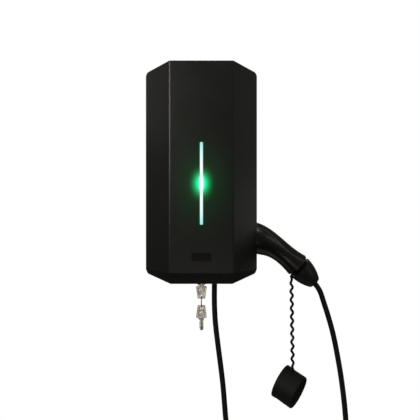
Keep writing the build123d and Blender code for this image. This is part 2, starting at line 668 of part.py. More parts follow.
def gland_dome(x, bore_r):
    """Domed clamping nut with a seat for its seal."""
    band = (GLAND_DOME_R, -DOME_BAND)
    mouth = (GLAND_MOUTH_R, -GLAND_DOME_L)
    profile = make_face(Polyline((bore_r, 0), (GLAND_DOME_R, 0), band)
                        + TangentArc(band, mouth, tangent=(0, -1))
                        + Polyline(mouth, (bore_r, -GLAND_DOME_L), (bore_r, 0)))
    dome = Pos(x, HOLSTER_Y, -BASE_HALF_H - GLAND_HEX_T) * revolve(Plane.XZ * profile, Axis.Z)
    return dome - rod((x, HOLSTER_Y, -BASE_HALF_H - GLAND_HEX_T), (0, 0, -1), SEAL_R + SLIP, SEAL_L)


def gland_seal(x, bore_r):
    """Rubber sleeve in the dome."""
    top = (x, HOLSTER_Y, -BASE_HALF_H - GLAND_HEX_T)
    return rod(top, (0, 0, -1), SEAL_R, SEAL_L) - rod(top, (0, 0, -1), bore_r, SEAL_L)


def gland_locknut(x):
    """Hexagon locknut on the thread, inside the case."""
    nut = Pos(x, HOLSTER_Y, BASE_FLOOR_Z) * extrude(RegularPolygon(GLAND_HEX_R, 6), amount=LOCKNUT_T)
    return nut - rod((x, HOLSTER_Y, BASE_FLOOR_Z), (0, 0, 1), GLAND_THREAD_R + RUN_GAP, LOCKNUT_T)


CABLE_BORE_R = CABLE_R + CABLE_FIT
parts["charging_gland"] = gland_body(GLAND_X, CABLE_BORE_R)
parts["supply_gland"] = gland_body(SUPPLY_X, SUPPLY_BORE_R)
parts["charging_gland_dome"] = gland_dome(GLAND_X, CABLE_BORE_R)
parts["supply_gland_dome"] = gland_dome(SUPPLY_X, SUPPLY_BORE_R)
parts["gland_seals"] = group([gland_seal(GLAND_X, CABLE_BORE_R), gland_seal(SUPPLY_X, SUPPLY_BORE_R)])
parts["gland_locknuts"] = group([gland_locknut(GLAND_X), gland_locknut(SUPPLY_X)])


# Rail and the devices on it
def din_rail():
    """Top hat rail across the tray."""
    web = RAIL_FACE_Y + RAIL_D - RAIL_T / 2
    lip = RAIL_FACE_Y + RAIL_T / 2
    half = RAIL_INNER_H / 2 - RAIL_T / 2
    hat = Polyline((lip, RAIL_H / 2), (lip, half), (web, half),
                   (web, -half), (lip, -half), (lip, -RAIL_H / 2))
    section = Plane.YZ * trace(hat, RAIL_T)
    rail = Pos(-RAIL_L / 2, 0, RAIL_Z) * extrude(section, amount=RAIL_L)
    for x, z in rail_screw_places():
        rail -= rod((x, 0, z), (0, -1, 0), SCREW_R + SLIP, -RAIL_FACE_Y)
    return rail


def rail_screws():
    """Two screws through the rail into the pads."""
    seat = RAIL_FACE_Y + RAIL_D - RAIL_T
    length = RAIL_T + RAIL_PAD - SCREW_END_GAP
    return group(screw((x, seat, z), (0, 1, 0), length) for x, z in rail_screw_places())


def device(x0, count):
    """Stepped housing on the rail, with clamp screws on its shoulders and wire holes above and below."""
    width = count * MODULE_W - DEVICE_GAP
    shoulder = DEVICE_BACK_Y - DEVICE_BODY_D
    nose = shoulder - DEVICE_NOSE_D
    side = Polyline((DEVICE_BACK_Y, -DEVICE_H / 2), (shoulder, -DEVICE_H / 2), (shoulder, -DEVICE_NOSE_H / 2),
                    (nose, -DEVICE_NOSE_H / 2), (nose, DEVICE_NOSE_H / 2), (shoulder, DEVICE_NOSE_H / 2),
                    (shoulder, DEVICE_H / 2), (DEVICE_BACK_Y, DEVICE_H / 2), close=True)
    body = Pos(x0, 0, RAIL_Z) * extrude(Plane.YZ * make_face(side), amount=width)
    for x in module_centres(x0, count):
        for way in (-1, 1):
            body -= rod((x, shoulder, RAIL_Z + way * CLAMP_Z), (0, 1, 0), CLAMP_R, CLAMP_DEPTH)
            body -= rod((x, WIRE_Y, RAIL_Z + way * DEVICE_H / 2), (0, 0, -way), WIRE_R + CABLE_FIT, WIRE_IN)
    return body


def module_centres(x0, count):
    """Middles of a device's poles."""
    return [x0 + i * MODULE_W + (MODULE_W - DEVICE_GAP) / 2 for i in range(count)]


def toggle_axis():
    """Middle of the breaker's toggle."""
    x = BREAKER_X + (BREAKER_COUNT * MODULE_W - DEVICE_GAP) / 2
    return (x, DEVICE_BACK_Y - DEVICE_BODY_D - DEVICE_NOSE_D + TOGGLE_SINK, RAIL_Z)


def breaker():
    """Four-pole breaker with a trough for its toggle."""
    x, y, z = toggle_axis()
    half = TOGGLE_W / 2 + TOGGLE_GAP
    trough = rod((x - half, y, z), (1, 0, 0), TOGGLE_R + TOGGLE_GAP, 2 * half)
    return device(BREAKER_X, BREAKER_COUNT) - trough


def breaker_toggle():
    """Barrel with a lever that leans up when the breaker is on."""
    x, y, z = toggle_axis()
    barrel = rod((x - TOGGLE_W / 2, y, z), (1, 0, 0), TOGGLE_R, TOGGLE_W)
    lever = Box(TOGGLE_W, TOGGLE_R + TOGGLE_L, TOGGLE_T, align=(Align.CENTER, Align.MAX, Align.CENTER))
    lever = fillet(lever.edges().filter_by(Axis.X).group_by(Axis.Y)[0], TOGGLE_EDGE_R)
    return barrel + Pos(x, y, z) * Rot(-TOGGLE_LEAN, 0, 0) * lever


def supply_terminals():
    """Terminal block for the supply, with a clamp screw and a wire hole for each pole."""
    width = TERMINAL_COUNT * MODULE_W - DEVICE_GAP
    front = DEVICE_BACK_Y - TERMINAL_D
    half = TERMINAL_H / 2
    body = block(TERMINAL_X, TERMINAL_X + width, front, DEVICE_BACK_Y, RAIL_Z - half, RAIL_Z + half)
    body = chamfer(body.edges().filter_by(Axis.X).group_by(Axis.Y)[0], TERMINAL_CHAMFER)
    for i, x in enumerate(terminal_centres()):
        body -= rod((x, front, RAIL_Z), (0, 1, 0), CLAMP_R, CLAMP_DEPTH)
        body -= rod((x, feeder_y(i), RAIL_Z + half), (0, 0, -1), WIRE_R + CABLE_FIT, WIRE_IN)
    return body


def terminal_centres():
    """Three poles side by side on the terminal block."""
    middle = TERMINAL_X + (TERMINAL_COUNT * MODULE_W - DEVICE_GAP) / 2
    return [middle + (i - 1) * WIRE_HOLE_STEP for i in range(PHASE_COUNT)]


def feeder_y(i):
    """Each feeder wire keeps its own depth."""
    return WIRE_Y + FEEDER_FIRST + i * FEEDER_STEP


def feeder_wires():
    """Wires that bow from the terminals to the top of the breaker."""
    wires = []
    for i, (x0, x1) in enumerate(zip(terminal_centres(), module_centres(BREAKER_X, BREAKER_COUNT))):
        y = feeder_y(i)
        low = RAIL_Z + TERMINAL_H / 2 - WIRE_IN + CABLE_FIT
        end = RAIL_Z + DEVICE_H / 2 - WIRE_IN + CABLE_FIT
        crown = RAIL_Z + DEVICE_H / 2 + FEEDER_RISE
        quarter = (x1 - x0) / 4
        route = [(x0, y, low), (x0, y, low + FEEDER_STEM), (x0 + FEEDER_LEAN, y, crown - FEEDER_SAG),
                 (x0 + quarter, y, crown), (x1 - quarter, WIRE_Y, crown),
                 (x1 - FEEDER_LEAN, WIRE_Y, crown - FEEDER_SAG), (x1, WIRE_Y, end + FEEDER_STEM / 2),
                 (x1, WIRE_Y, end)]
        wires.append(tube(route, WIRE_R))
    return group(wires)


def load_wires():
    """Wires that fan out from the end of the charging cable to the bottom of the contactor."""
    wires = []
    start = -TOP_Z + GLAND_RUN[0][1]
    end = RAIL_Z - DEVICE_H / 2 + WIRE_IN - CABLE_FIT
    first, second, third, fourth = [start + share * (end - start) for share in LOAD_RISE]
    for i, x in enumerate(module_centres(CONTACTOR_X, CONTACTOR_COUNT)):
        x0 = GLAND_X + (i - 1) * CORE_STEP
        y0 = HOLSTER_Y + (CORE_STEP / 2 if i == 1 else -CORE_STEP / 2)
        bow = y0 - CORE_STEP * (2 + i)
        spread = LOAD_SPREAD * (x - x0)
        route = [(x0, y0, start), (x0, y0, first), (x0 + spread, bow, second), (x - spread, bow, third),
                 (x, WIRE_Y, fourth), (x, WIRE_Y, end)]
        wires.append(tube(route, WIRE_R))
    return group(wires)


parts["din_rail"] = din_rail()
parts["rail_screws"] = rail_screws()
parts["supply_terminals"] = supply_terminals()
parts["breaker"] = breaker()
parts["breaker_toggle"] = breaker_toggle()
parts["contactor"] = device(CONTACTOR_X, CONTACTOR_COUNT)
parts["feeder_wires"] = feeder_wires()
parts["load_wires"] = load_wires()


# Control board on its standoffs
def board_holes():
    """Corner holes of the control board."""
    sides = (BOARD_LEFT + BOARD_HOLE_IN, BOARD_LEFT + BOARD_W - BOARD_HOLE_IN)
    ends = (BOARD_LOW + BOARD_HOLE_IN, BOARD_LOW + BOARD_H - BOARD_HOLE_IN)
    return [(x, z) for x in sides for z in ends]


def control_board():
    """Circuit board with its relays, chip, capacitors and plug header."""
    front = BOARD_Y - BOARD_T
    board = block(BOARD_LEFT, BOARD_LEFT + BOARD_W, front, BOARD_Y, BOARD_LOW, BOARD_LOW + BOARD_H)
    for x, z in board_holes():
        board -= rod((x, BOARD_Y, z), (0, -1, 0), SCREW_R + SLIP, BOARD_T)
    for i in range(RELAY_COUNT):
        x = BOARD_LEFT + RELAY_FIRST + i * RELAY_STEP
        foot = (x + RELAY_W / 2, front, BOARD_LOW + RELAY_FIRST)
        board += block(x, x + RELAY_W, front - RELAY_D, front, BOARD_Z, BOARD_Z + RELAY_H)
        board += rod(foot, (0, -1, 0), CAPACITOR_R, CAPACITOR_H)
    chip_x = BOARD_LEFT + BOARD_W - RELAY_FIRST - CHIP
    header_low = BOARD_LOW + BOARD_HOLE_IN
    board += block(chip_x, chip_x + CHIP, front - BOARD_T, front, BOARD_Z, BOARD_Z + CHIP)
    board += block(chip_x, chip_x + CHIP, front - RELAY_D / 2, front, header_low, header_low + BOARD_HOLE_IN)
    return board


def board_standoffs():
    """Pillars on the rear wall, drilled for the board screws."""
    pillars = []
    for x, z in board_holes():
        pillar = rod((x, -WALL, z), (0, -1, 0), STANDOFF_R, BOARD_STAND)
        pillars.append(pillar - rod((x, BOARD_Y, z), (0, 1, 0), SCREW_R + RUN_GAP, STANDOFF_HOLE))
    return group(pillars)


def board_screws():
    """Four screws through the board into the pillars."""
    length = BOARD_T + STANDOFF_HOLE - SCREW_END_GAP
    return group(screw((x, BOARD_Y - BOARD_T, z), (0, 1, 0), length) for x, z in board_holes())


parts["control_board"] = control_board()
parts["board_standoffs"] = board_standoffs()
parts["board_screws"] = board_screws()


# Connector: spine stations from the shoulder, as (outwards, downwards, lean, diameter)
GRIP_STATIONS = [(0, 0, 0, GRIP_FRONT_D), (27.4, 11, 22, GRIP_NECK_D), (50.9, 25.7, 40, GRIP_WAIST_D),
                 (70.4, 41, 44, GRIP_HEEL_D), (89.6, 57, GRIP_END_LEAN, GRIP_REAR_D)]


def leaning(lean):
    """Direction in the plane of the holster, leaning down from +X."""
    return Vector(cos(radians(lean)), 0, -sin(radians(lean)))


def grip_plane(station):
    """Plane of one section of the grip."""
    out, down, lean, _ = station
    return Plane(origin=(SHOULDER_X + out, HOLSTER_Y, HOLSTER_Z - down), x_dir=(0, 1, 0), z_dir=leaning(lean))


GRIP_END = grip_plane(GRIP_STATIONS[-1])
REAR_AXIS = leaning(GRIP_END_LEAN)
GROOVE_MIDDLE = GRIP_END.origin + REAR_AXIS * (GROOVE_W / 2)
BELL_START = GRIP_END.origin + REAR_AXIS * GROOVE_W
BELL_END = BELL_START + REAR_AXIS * BELL_L


def connector_shell():
    """Round nose, lofted grip that bends down to the cable, and the neck for the lanyard collar."""
    grip = loft([grip_plane(s) * Circle(s[3] / 2) for s in GRIP_STATIONS])
    nose = rod((SHOULDER_X, HOLSTER_Y, HOLSTER_Z), (-1, 0, 0), NOSE_R, NOSE_L)
    nose = fillet(nose.edges().group_by(Axis.X)[0], NOSE_EDGE_R)
    neck = rod(GRIP_END.origin, REAR_AXIS, GROOVE_R, GROOVE_W)
    shell = grip + nose + neck
    return shell - rod((SHOULDER_X, HOLSTER_Y, HOLSTER_Z), (-1, 0, 0), NOSE_R - NOSE_WALL, NOSE_L)


def contact_places():
    """One contact in the middle and six round it, as (y, z)."""
    turns = [2 * pi * i / CONTACT_RING_COUNT for i in range(CONTACT_RING_COUNT)]
    ring = [(HOLSTER_Y + CONTACT_PCD_R * cos(a), HOLSTER_Z + CONTACT_PCD_R * sin(a)) for a in turns]
    return [(HOLSTER_Y, HOLSTER_Z)] + ring


def contact_carrier():
    """Insulating block at the bottom of the nose."""
    back = (SHOULDER_X, HOLSTER_Y, HOLSTER_Z)
    carrier = rod(back, (-1, 0, 0), NOSE_R - NOSE_WALL - SLIP, CARRIER_BACK)
    carrier += rod(back, (-1, 0, 0), CARRIER_R, NOSE_L - CARRIER_SETBACK)
    for y, z in contact_places():
        carrier -= rod((SHOULDER_X - NOSE_L, y, z), (1, 0, 0), CONTACT_R + SLIP, CONTACT_L)
    return carrier


def contact_sleeves():
    """Seven sockets in the carrier, a little below its face."""
    seat = SHOULDER_X - NOSE_L + CONTACT_L
    length = CONTACT_L - 2 * CARRIER_SETBACK
    return group(rod((seat, y, z), (-1, 0, 0), CONTACT_R, length)
                 - rod((seat - CONTACT_BORE_R, y, z), (-1, 0, 0), CONTACT_BORE_R, length)
                 for y, z in contact_places())


def cable_bell():
    """Domed rear sleeve that the cable comes out of."""
    dome = make_face(Polyline((0, BELL_L), (0, 0), (BELL_R, 0))
                     + ThreePointArc((BELL_R, 0), (BELL_MID_R, BELL_L / 2), (BELL_END_R, BELL_L))
                     + Line((BELL_END_R, BELL_L), (0, BELL_L)))
    plane = Plane(origin=BELL_START, x_dir=(0, 1, 0), z_dir=REAR_AXIS)
    bell = plane * revolve(Plane.XZ * dome, Axis.Z)
    return bell - rod(BELL_END, REAR_AXIS * -1, CABLE_R + CABLE_FIT, BELL_BORE_L)


def lanyard_collar():
    """Loose ring in the groove, with an eye that the lanyard hangs from."""
    start = GROOVE_MIDDLE - REAR_AXIS * (COLLAR_W / 2)
    inner = GROOVE_R + COLLAR_GAP
    ring = rod(start, REAR_AXIS, inner + COLLAR_T, COLLAR_W) - rod(start, REAR_AXIS, inner, COLLAR_W)
    root = inner + COLLAR_T / 2
    stem = rod(GROOVE_MIDDLE + EYE_WAY * root, EYE_WAY, EYE_STEM_R, EYE_REACH - root)
    return ring + stem + Pos(*EYE) * Sphere(EYE_R)


def dust_cap():
    """Rubber cup for the nose of the connector, with a raised rim and a lug for the lanyard."""
    cup = rod(CAP_START, CAP_AXIS, CAP_R - CAP_RIM_STEP, CAP_L)
    cup = fillet(cup.edges().sort_by(Axis(CAP_START, CAP_AXIS))[:1], CAP_EDGE_R)
    cup += rod(CAP_START + CAP_AXIS * (CAP_L - CAP_RIM_L), CAP_AXIS, CAP_R, CAP_RIM_L)
    foot = CAP_START + CAP_AXIS * LUG_BACK
    cup += rod(foot + CAP_UP * (CAP_R - EYE_R), CAP_UP, LUG_R, 2 * EYE_R)
    cup += Pos(*CAP_EYE) * Sphere(EYE_R)
    return cup - rod(CAP_START + CAP_AXIS * CAP_END_T, CAP_AXIS, NOSE_R + NOSE_GAP, CAP_L)


def lanyard():
    """Straight sleeve round the waves of the lanyard, from eye to eye."""
    way = (CAP_EYE - EYE).normalized()
    gap = EYE_R + HANG_GAP
    return rod(EYE + way * gap, way, LANYARD_R, (CAP_EYE - EYE).length - 2 * gap)


EYE_WAY = (Vector(-sin(radians(GRIP_END_LEAN)), 0, -cos(radians(GRIP_END_LEAN))) * cos(radians(EYE_TURN))
           + Vector(0, -1, 0) * sin(radians(EYE_TURN)))
EYE = GROOVE_MIDDLE + EYE_WAY * EYE_REACH
CAP_AXIS = leaning(CAP_LEAN) * -cos(radians(CAP_TURN)) + Vector(0, 1, 0) * sin(radians(CAP_TURN))
CAP_START = Vector(*CAP_CENTRE) - CAP_AXIS * (CAP_L / 2)
CAP_UP = (Axis.Z.direction - CAP_AXIS * CAP_AXIS.Z).normalized()
CAP_EYE = CAP_START + CAP_AXIS * LUG_BACK + CAP_UP * (CAP_R + EYE_R)
parts["connector_shell"] = connector_shell()
parts["contact_carrier"] = contact_carrier()
parts["contact_sleeves"] = contact_sleeves()
parts["cable_bell"] = cable_bell()
parts["lanyard_collar"] = lanyard_collar()
parts["dust_cap"] = dust_cap()
parts["lanyard"] = lanyard()


# Charging cable: down from the gland, a coil of the spare length, and up to the connector
def run_from(place, offsets):
    """Points of a run, from offsets in the plane of the holster."""
    x0, z0 = place
    return [(x0 + x, HOLSTER_Y, z0 + z) for x, z in offsets]


def cable_lower():
    """Run from inside the gland to the left side of the coil."""
    return tube(run_from((GLAND_X, -TOP_Z), GLAND_RUN) + run_from((COIL_X, COIL_Z), COIL_IN), CABLE_R)


def cable_upper():
    """Run from inside the bell to the right side of the coil."""
    inside = BELL_END - REAR_AXIS * CABLE_IN_BELL
    outside = BELL_END + REAR_AXIS * CABLE_STRAIGHT
    hanging = run_from((BELL_END.X, BELL_END.Z), BELL_RUN) + run_from((COIL_X, COIL_Z), COIL_OUT)
    return tube([inside, outside] + hanging, CABLE_R)


def coil_section(grow):
    """Bundle of turns, cut through."""
    size = 2 * CABLE_R * COIL_LAYERS + 2 * grow
    return Pos(COIL_TURN_R, 0) * RectangleRounded(size, size, CABLE_R + grow)


def cable_coil():
    """Outer shape of the coiled cable."""
    return COIL_PLANE * revolve(Plane.XZ * coil_section(0), Axis.Z)


def coil_tie():
    """Strap round the bundle at the top of the coil."""
    strap = coil_section(TIE_T) - coil_section(RUN_GAP)
    arc = degrees(TIE_W / COIL_TURN_R)
    return COIL_PLANE * Rot(0, 0, -arc / 2) * revolve(Plane.XZ * strap, Axis.Z, revolution_arc=arc)


COIL_PLANE = Plane(origin=(COIL_X, HOLSTER_Y, COIL_Z), x_dir=(0, 0, 1), z_dir=(0, 1, 0))
parts["cable_lower"] = cable_lower()
parts["cable_upper"] = cable_upper()
parts["cable_coil"] = cable_coil()
parts["coil_tie"] = coil_tie()

os.makedirs("parts", exist_ok=True)
for name, shape in parts.items():
    export_step(shape, f"parts/{name}.step")
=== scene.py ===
# %% [markdown]
# # A wall charging box, dressed in Blender
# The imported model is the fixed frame: every solid already stands at its real size and place, in metres,
# with the wall at y = 0 and the front facing -Y. This lesson gives each surface its finish, makes the soft
# and rounded pieces that plain solids can't show, and lights the box like a catalogue picture.

# %% Load the frame
import bpy
import json
import math
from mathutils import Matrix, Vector

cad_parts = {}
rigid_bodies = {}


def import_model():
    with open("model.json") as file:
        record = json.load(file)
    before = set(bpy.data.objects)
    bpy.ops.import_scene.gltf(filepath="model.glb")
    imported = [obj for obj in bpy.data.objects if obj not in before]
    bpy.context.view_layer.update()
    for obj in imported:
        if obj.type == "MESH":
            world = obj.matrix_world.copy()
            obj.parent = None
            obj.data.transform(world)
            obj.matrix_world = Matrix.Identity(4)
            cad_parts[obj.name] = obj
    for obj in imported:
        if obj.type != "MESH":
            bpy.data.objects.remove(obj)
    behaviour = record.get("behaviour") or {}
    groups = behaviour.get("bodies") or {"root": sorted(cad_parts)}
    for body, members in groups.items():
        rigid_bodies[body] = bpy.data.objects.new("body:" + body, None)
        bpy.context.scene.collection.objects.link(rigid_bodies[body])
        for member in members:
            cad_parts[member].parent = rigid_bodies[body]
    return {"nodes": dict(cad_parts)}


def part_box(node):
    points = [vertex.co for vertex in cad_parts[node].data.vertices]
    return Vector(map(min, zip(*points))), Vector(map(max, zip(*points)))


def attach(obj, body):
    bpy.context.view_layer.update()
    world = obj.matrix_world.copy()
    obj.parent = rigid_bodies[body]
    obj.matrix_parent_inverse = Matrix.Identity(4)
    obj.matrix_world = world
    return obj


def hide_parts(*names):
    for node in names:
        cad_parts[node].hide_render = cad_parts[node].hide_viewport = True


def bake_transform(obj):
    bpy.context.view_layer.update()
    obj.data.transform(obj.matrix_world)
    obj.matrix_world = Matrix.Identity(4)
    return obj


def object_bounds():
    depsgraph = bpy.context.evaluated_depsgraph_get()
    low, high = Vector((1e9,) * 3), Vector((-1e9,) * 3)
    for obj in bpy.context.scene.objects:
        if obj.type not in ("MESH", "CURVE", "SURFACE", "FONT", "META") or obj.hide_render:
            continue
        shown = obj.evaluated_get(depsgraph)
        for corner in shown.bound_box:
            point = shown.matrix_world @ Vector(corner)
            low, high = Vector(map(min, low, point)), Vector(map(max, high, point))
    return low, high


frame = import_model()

nodes = frame["nodes"]
cad_low, cad_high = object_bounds()
print("CAD box", [round(v, 4) for v in cad_low], [round(v, 4) for v in cad_high])


# %% [markdown]
# ## Camera
# The picture shows the box straight on with strong perspective, so the camera is level and close. The
# facets' rear edges look 0.89 times as tall as the front panel, which gives the distance. A small shift
# frames the box above the middle, as a view camera would, and keeps its upright edges parallel.

# %% Camera
FRAME_PX = 420
FRONT_DISTANCE = 0.740
FOCAL_PX = 423.5
SENSOR_MM = 36.0
HORIZON_PX = (201.4, 175.9)
EYE_HEIGHT = -0.005
FRONT_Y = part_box("front_cover")[0].y

camera_data = bpy.data.cameras.new("camera")
camera_data.sensor_width = SENSOR_MM
camera_data.lens = SENSOR_MM * FOCAL_PX / FRAME_PX
camera_data.shift_x = (FRAME_PX / 2 - HORIZON_PX[0]) / FRAME_PX
camera_data.shift_y = -(FRAME_PX / 2 - HORIZON_PX[1]) / FRAME_PX
camera = bpy.data.objects.new("camera", camera_data)
camera.location = (0.0, FRONT_Y - FRONT_DISTANCE, EYE_HEIGHT)
camera.rotation_euler = (math.radians(90), 0, 0)
bpy.context.scene.collection.objects.link(camera)
bpy.context.scene.camera = camera
bpy.context.scene.view_settings.view_transform = "Standard"
print("lens", round(camera_data.lens, 2), "mm")


# %% [markdown]
# ## Shader arithmetic
# A finish is a small graph of nodes. Writing `0.4 + 0.1 * grain` is easier to read than placing Math nodes,
# so `Value` wraps a socket and overloads the operators, and each expression on values adds its nodes.

# %% Shader arithmetic
class Value:
    """A number that varies; arithmetic on it adds Math nodes to its graph."""

    def __init__(self, graph, socket):
        self.graph = graph
        self.socket = socket

    def math(self, operation, *values):
        made = self.graph.node("ShaderNodeMath", {"operation": operation}, dict(enumerate(values)))
        return Value(self.graph, made.outputs[0])

    def __add__(self, other):
        return self.math("ADD", self, other)

    def __sub__(self, other):
        return self.math("SUBTRACT", self, other)

    def __rsub__(self, other):
        return self.math("SUBTRACT", other, self)

    def __mul__(self, other):
        return self.math("MULTIPLY", self, other)

    def __truediv__(self, other):
        return self.math("DIVIDE", self, other)

    def __pow__(self, other):
        return self.math("POWER", self, other)

    __radd__ = __add__
    __rmul__ = __mul__


print("arithmetic ready")


# %% [markdown]
# ## Graphs and finishes
# A graph holds the nodes of the world or of one material, and its method `node` adds a node of any kind:
# its settings first, then the values or links of its sockets. A finish is a graph round one Principled
# shader. It reads Object coordinates, which stay with a piece when its body moves.

# %% Graphs and finishes
class Graph:
    """The nodes of one world or material."""

    def __init__(self, tree):
        self.tree = tree

    def node(self, kind, settings=None, sockets=None):
        made = self.tree.nodes.new(kind)
        for key, value in (settings or {}).items():
            setattr(made, key, value)
        for key, value in (sockets or {}).items():
            self.feed(made.inputs[key], value)
        return made

    def feed(self, socket, value):
        source = value.socket if isinstance(value, Value) else value
        if isinstance(source, bpy.types.NodeSocket):
            self.tree.links.new(source, socket)
        else:
            socket.default_value = source


class Finish(Graph):
    """A procedural material built round one Principled shader."""

    def __init__(self, name, **constants):
        self.material = bpy.data.materials.new(name)
        self.material.use_nodes = True
        super().__init__(self.material.node_tree)
        self.shader = self.tree.nodes["Principled BSDF"]
        for key, value in constants.items():
            self.shader.inputs[key.replace("_", " ")].default_value = value
        self.place = self.node("ShaderNodeTexCoord").outputs["Object"]

    def set(self, name, value):
        self.feed(self.shader.inputs[name], value)

    def noise(self, scale, detail=3.0, roughness=0.5, vector=None):
        made = self.node("ShaderNodeTexNoise", None, {"Vector": vector or self.place, "Scale": scale,
                                                      "Detail": detail, "Roughness": roughness})
        return Value(self, made.outputs["Fac"])

    def axes(self):
        made = self.node("ShaderNodeSeparateXYZ", None, {0: self.place})
        return [Value(self, made.outputs[i]) for i in range(3)]

    def mix(self, factor, first, second):
        """Colour between two colours; each is three numbers or another colour's socket."""
        factor_in, first_in, second_in, colour_out = 0, 6, 7, 2
        pair = [c if isinstance(c, bpy.types.NodeSocket) else (*c, 1.0) for c in (first, second)]
        made = self.node("ShaderNodeMix", {"data_type": "RGBA"},
                         {factor_in: factor, first_in: pair[0], second_in: pair[1]})
        return made.outputs[colour_out]

    def bump(self, height, distance, strength):
        made = self.node("ShaderNodeBump", None,
                         {"Height": height, "Distance": distance, "Strength": strength})
        self.set("Normal", made.outputs["Normal"])


print("finishes ready")


# %% [markdown]
# ## Studio
# The picture is a cut-out on pure white. Light Path tells the rays apart: the camera sees a white world
# everywhere, matt surfaces get a low even light, and reflections see the same white backdrop behind the
# box, but dark studio walls at the sides and in front. Photographers keep black plastic black that way.

# %% Studio
WORLD_LIGHT = 0.20
STUDIO_WALLS = 0.12
STUDIO_LOW = 0.015
LOW_FROM, LOW_TO = -0.45, 0.10
BACKDROP = 1.0
BACKDROP_FROM, BACKDROP_FULL = 0.74, 0.99
LEFT_SHARE = 0.45
SIDE_REACH = 0.7

world = bpy.data.worlds.new("studio")
world.use_nodes = True
studio = Graph(world.node_tree)


def eased(value, start, end, first, last, easing="SMOOTHSTEP"):
    """Number that goes from first to last while a value goes from start to end."""
    made = studio.node("ShaderNodeMapRange", {"interpolation_type": easing},
                       {"Value": value, "From Min": start, "From Max": end, "To Min": first, "To Max": last})
    return Value(studio, made.outputs[0])


def either(share, first, second):
    """First number where the share is 0, second where it is 1."""
    share_in, first_in, second_in = 0, 2, 3
    made = studio.node("ShaderNodeMix", None, {share_in: share, first_in: first, second_in: second})
    return Value(studio, made.outputs[0])


ray = {name: Value(studio, socket) for name, socket in studio.node("ShaderNodeLightPath").outputs.items()}
looking = studio.node("ShaderNodeTexCoord").outputs["Generated"]
rightward, backward, upward = studio.node("ShaderNodeSeparateXYZ", None, {0: looking}).outputs
sides = eased(upward, LOW_FROM, LOW_TO, STUDIO_LOW, STUDIO_WALLS)
uneven = eased(rightward, -SIDE_REACH, SIDE_REACH, LEFT_SHARE, 1.0, "LINEAR")
walls = eased(backward, BACKDROP_FROM, BACKDROP_FULL, sides, BACKDROP) * uneven
clear = ray["Is Camera Ray"].math("MAXIMUM", ray["Is Camera Ray"], ray["Is Transmission Ray"])
background = studio.tree.nodes["Background"]
background.inputs["Color"].default_value = (1, 1, 1, 1)
studio.feed(background.inputs["Strength"],
            either(clear, either(ray["Is Glossy Ray"], WORLD_LIGHT, walls), 1.0))
bpy.context.scene.world = world
print("studio nodes", len(studio.tree.nodes))


# %% [markdown]
# ## Lamps
# A key lamp stands in front on the left. Narrow lamps on both sides draw the lines along the facets' edges,
# two faint ones behind shade the facets, a top lamp models the connector and a low one faces the keys. Area
# lamps are used because their size gives the soft edges of the highlights.

# %% Lamps
LAMP_COLOUR = (1.0, 0.97, 0.90)
LAMPS = {  # place, target, size, watts
    "lamp_key": ((-0.66, -1.20, 0.32), (0.0, -0.1, 0.1), (0.5, 0.5), 7.8),
    "lamp_edge": ((-1.5, -0.95, 0.5), (0.0, -0.1, 0.1), (0.18, 0.9), 22),
    "lamp_back_left": ((-1.3, 1.0, 0.5), (-0.1, -0.1, 0.1), (0.5, 0.6), 0.2),
    "lamp_back_right": ((1.3, 1.0, -0.35), (0.1, -0.1, -0.1), (0.5, 0.6), 0.2),
    "lamp_right": ((1.5, -0.75, 0.1), (0.0, -0.1, -0.1), (0.18, 1.5), 2.4),
    "lamp_top": ((0.35, -0.5, 1.2), (0.1, -0.1, -0.2), (0.9, 0.7), 9.5),
    "lamp_low": ((0.0, -2.0, -0.92), (0.0, -0.14, -0.24), (0.7, 0.50), 2.0),
}


def soft_lamp(name, place, target, size, watts):
    """Warm rectangular lamp that looks at a point."""
    data = bpy.data.lights.new(name, "AREA")
    data.shape = "RECTANGLE"
    data.size, data.size_y = size
    data.energy = watts
    data.color = LAMP_COLOUR
    lamp = bpy.data.objects.new(name, data)
    lamp.location = place
    lamp.rotation_euler = (Vector(target) - Vector(place)).to_track_quat("-Z", "Y").to_euler()
    bpy.context.scene.collection.objects.link(lamp)


for lamp_name, (place, target, size, watts) in LAMPS.items():
    soft_lamp(lamp_name, place, target, size, watts)
print(len(LAMPS), "lamps")


# %% [markdown]
# ## Floor
# A small pale floor lies under the coil and takes the shadow. A wide one would throw light up into the
# underside of the box, which is dark in the picture.

# %% Floor
FLOOR_GREY = (0.55, 0.55, 0.54, 1)
FLOOR_GAP = 0.012
FLOOR_SIZE = (0.70, 0.36)
FLOOR_CENTRE = (0.12, -0.05)

bpy.ops.object.select_all(action="DESELECT")
bpy.ops.mesh.primitive_plane_add(size=1, location=(*FLOOR_CENTRE, cad_low.z - FLOOR_GAP))
floor = bpy.context.object
floor.name = "studio_floor"
bpy.ops.transform.resize(value=(*FLOOR_SIZE, 1))
bpy.ops.object.transform_apply(location=True, scale=True)
floor_finish = Finish("pale_floor", Base_Color=FLOOR_GREY, Roughness=0.7)
floor.data.materials.append(floor_finish.material)
print("floor at", round(cad_low.z - FLOOR_GAP, 4))


# %% [markdown]
# ## Moulded black plastic
# The cover is injection moulded with a fine spark-eroded grain, so it is satin: dark, with soft
# reflections. Fine noise makes the grain and broad noise a faint unevenness in colour and gloss. One
# function serves every black moulding, each with its own colour, roughness and depth of grain.

# %% Moulded black plastic
GRAIN_SCALE = 1500.0
GRAIN_DEPTH = 0.00012
CLOUD_SCALE = 24.0


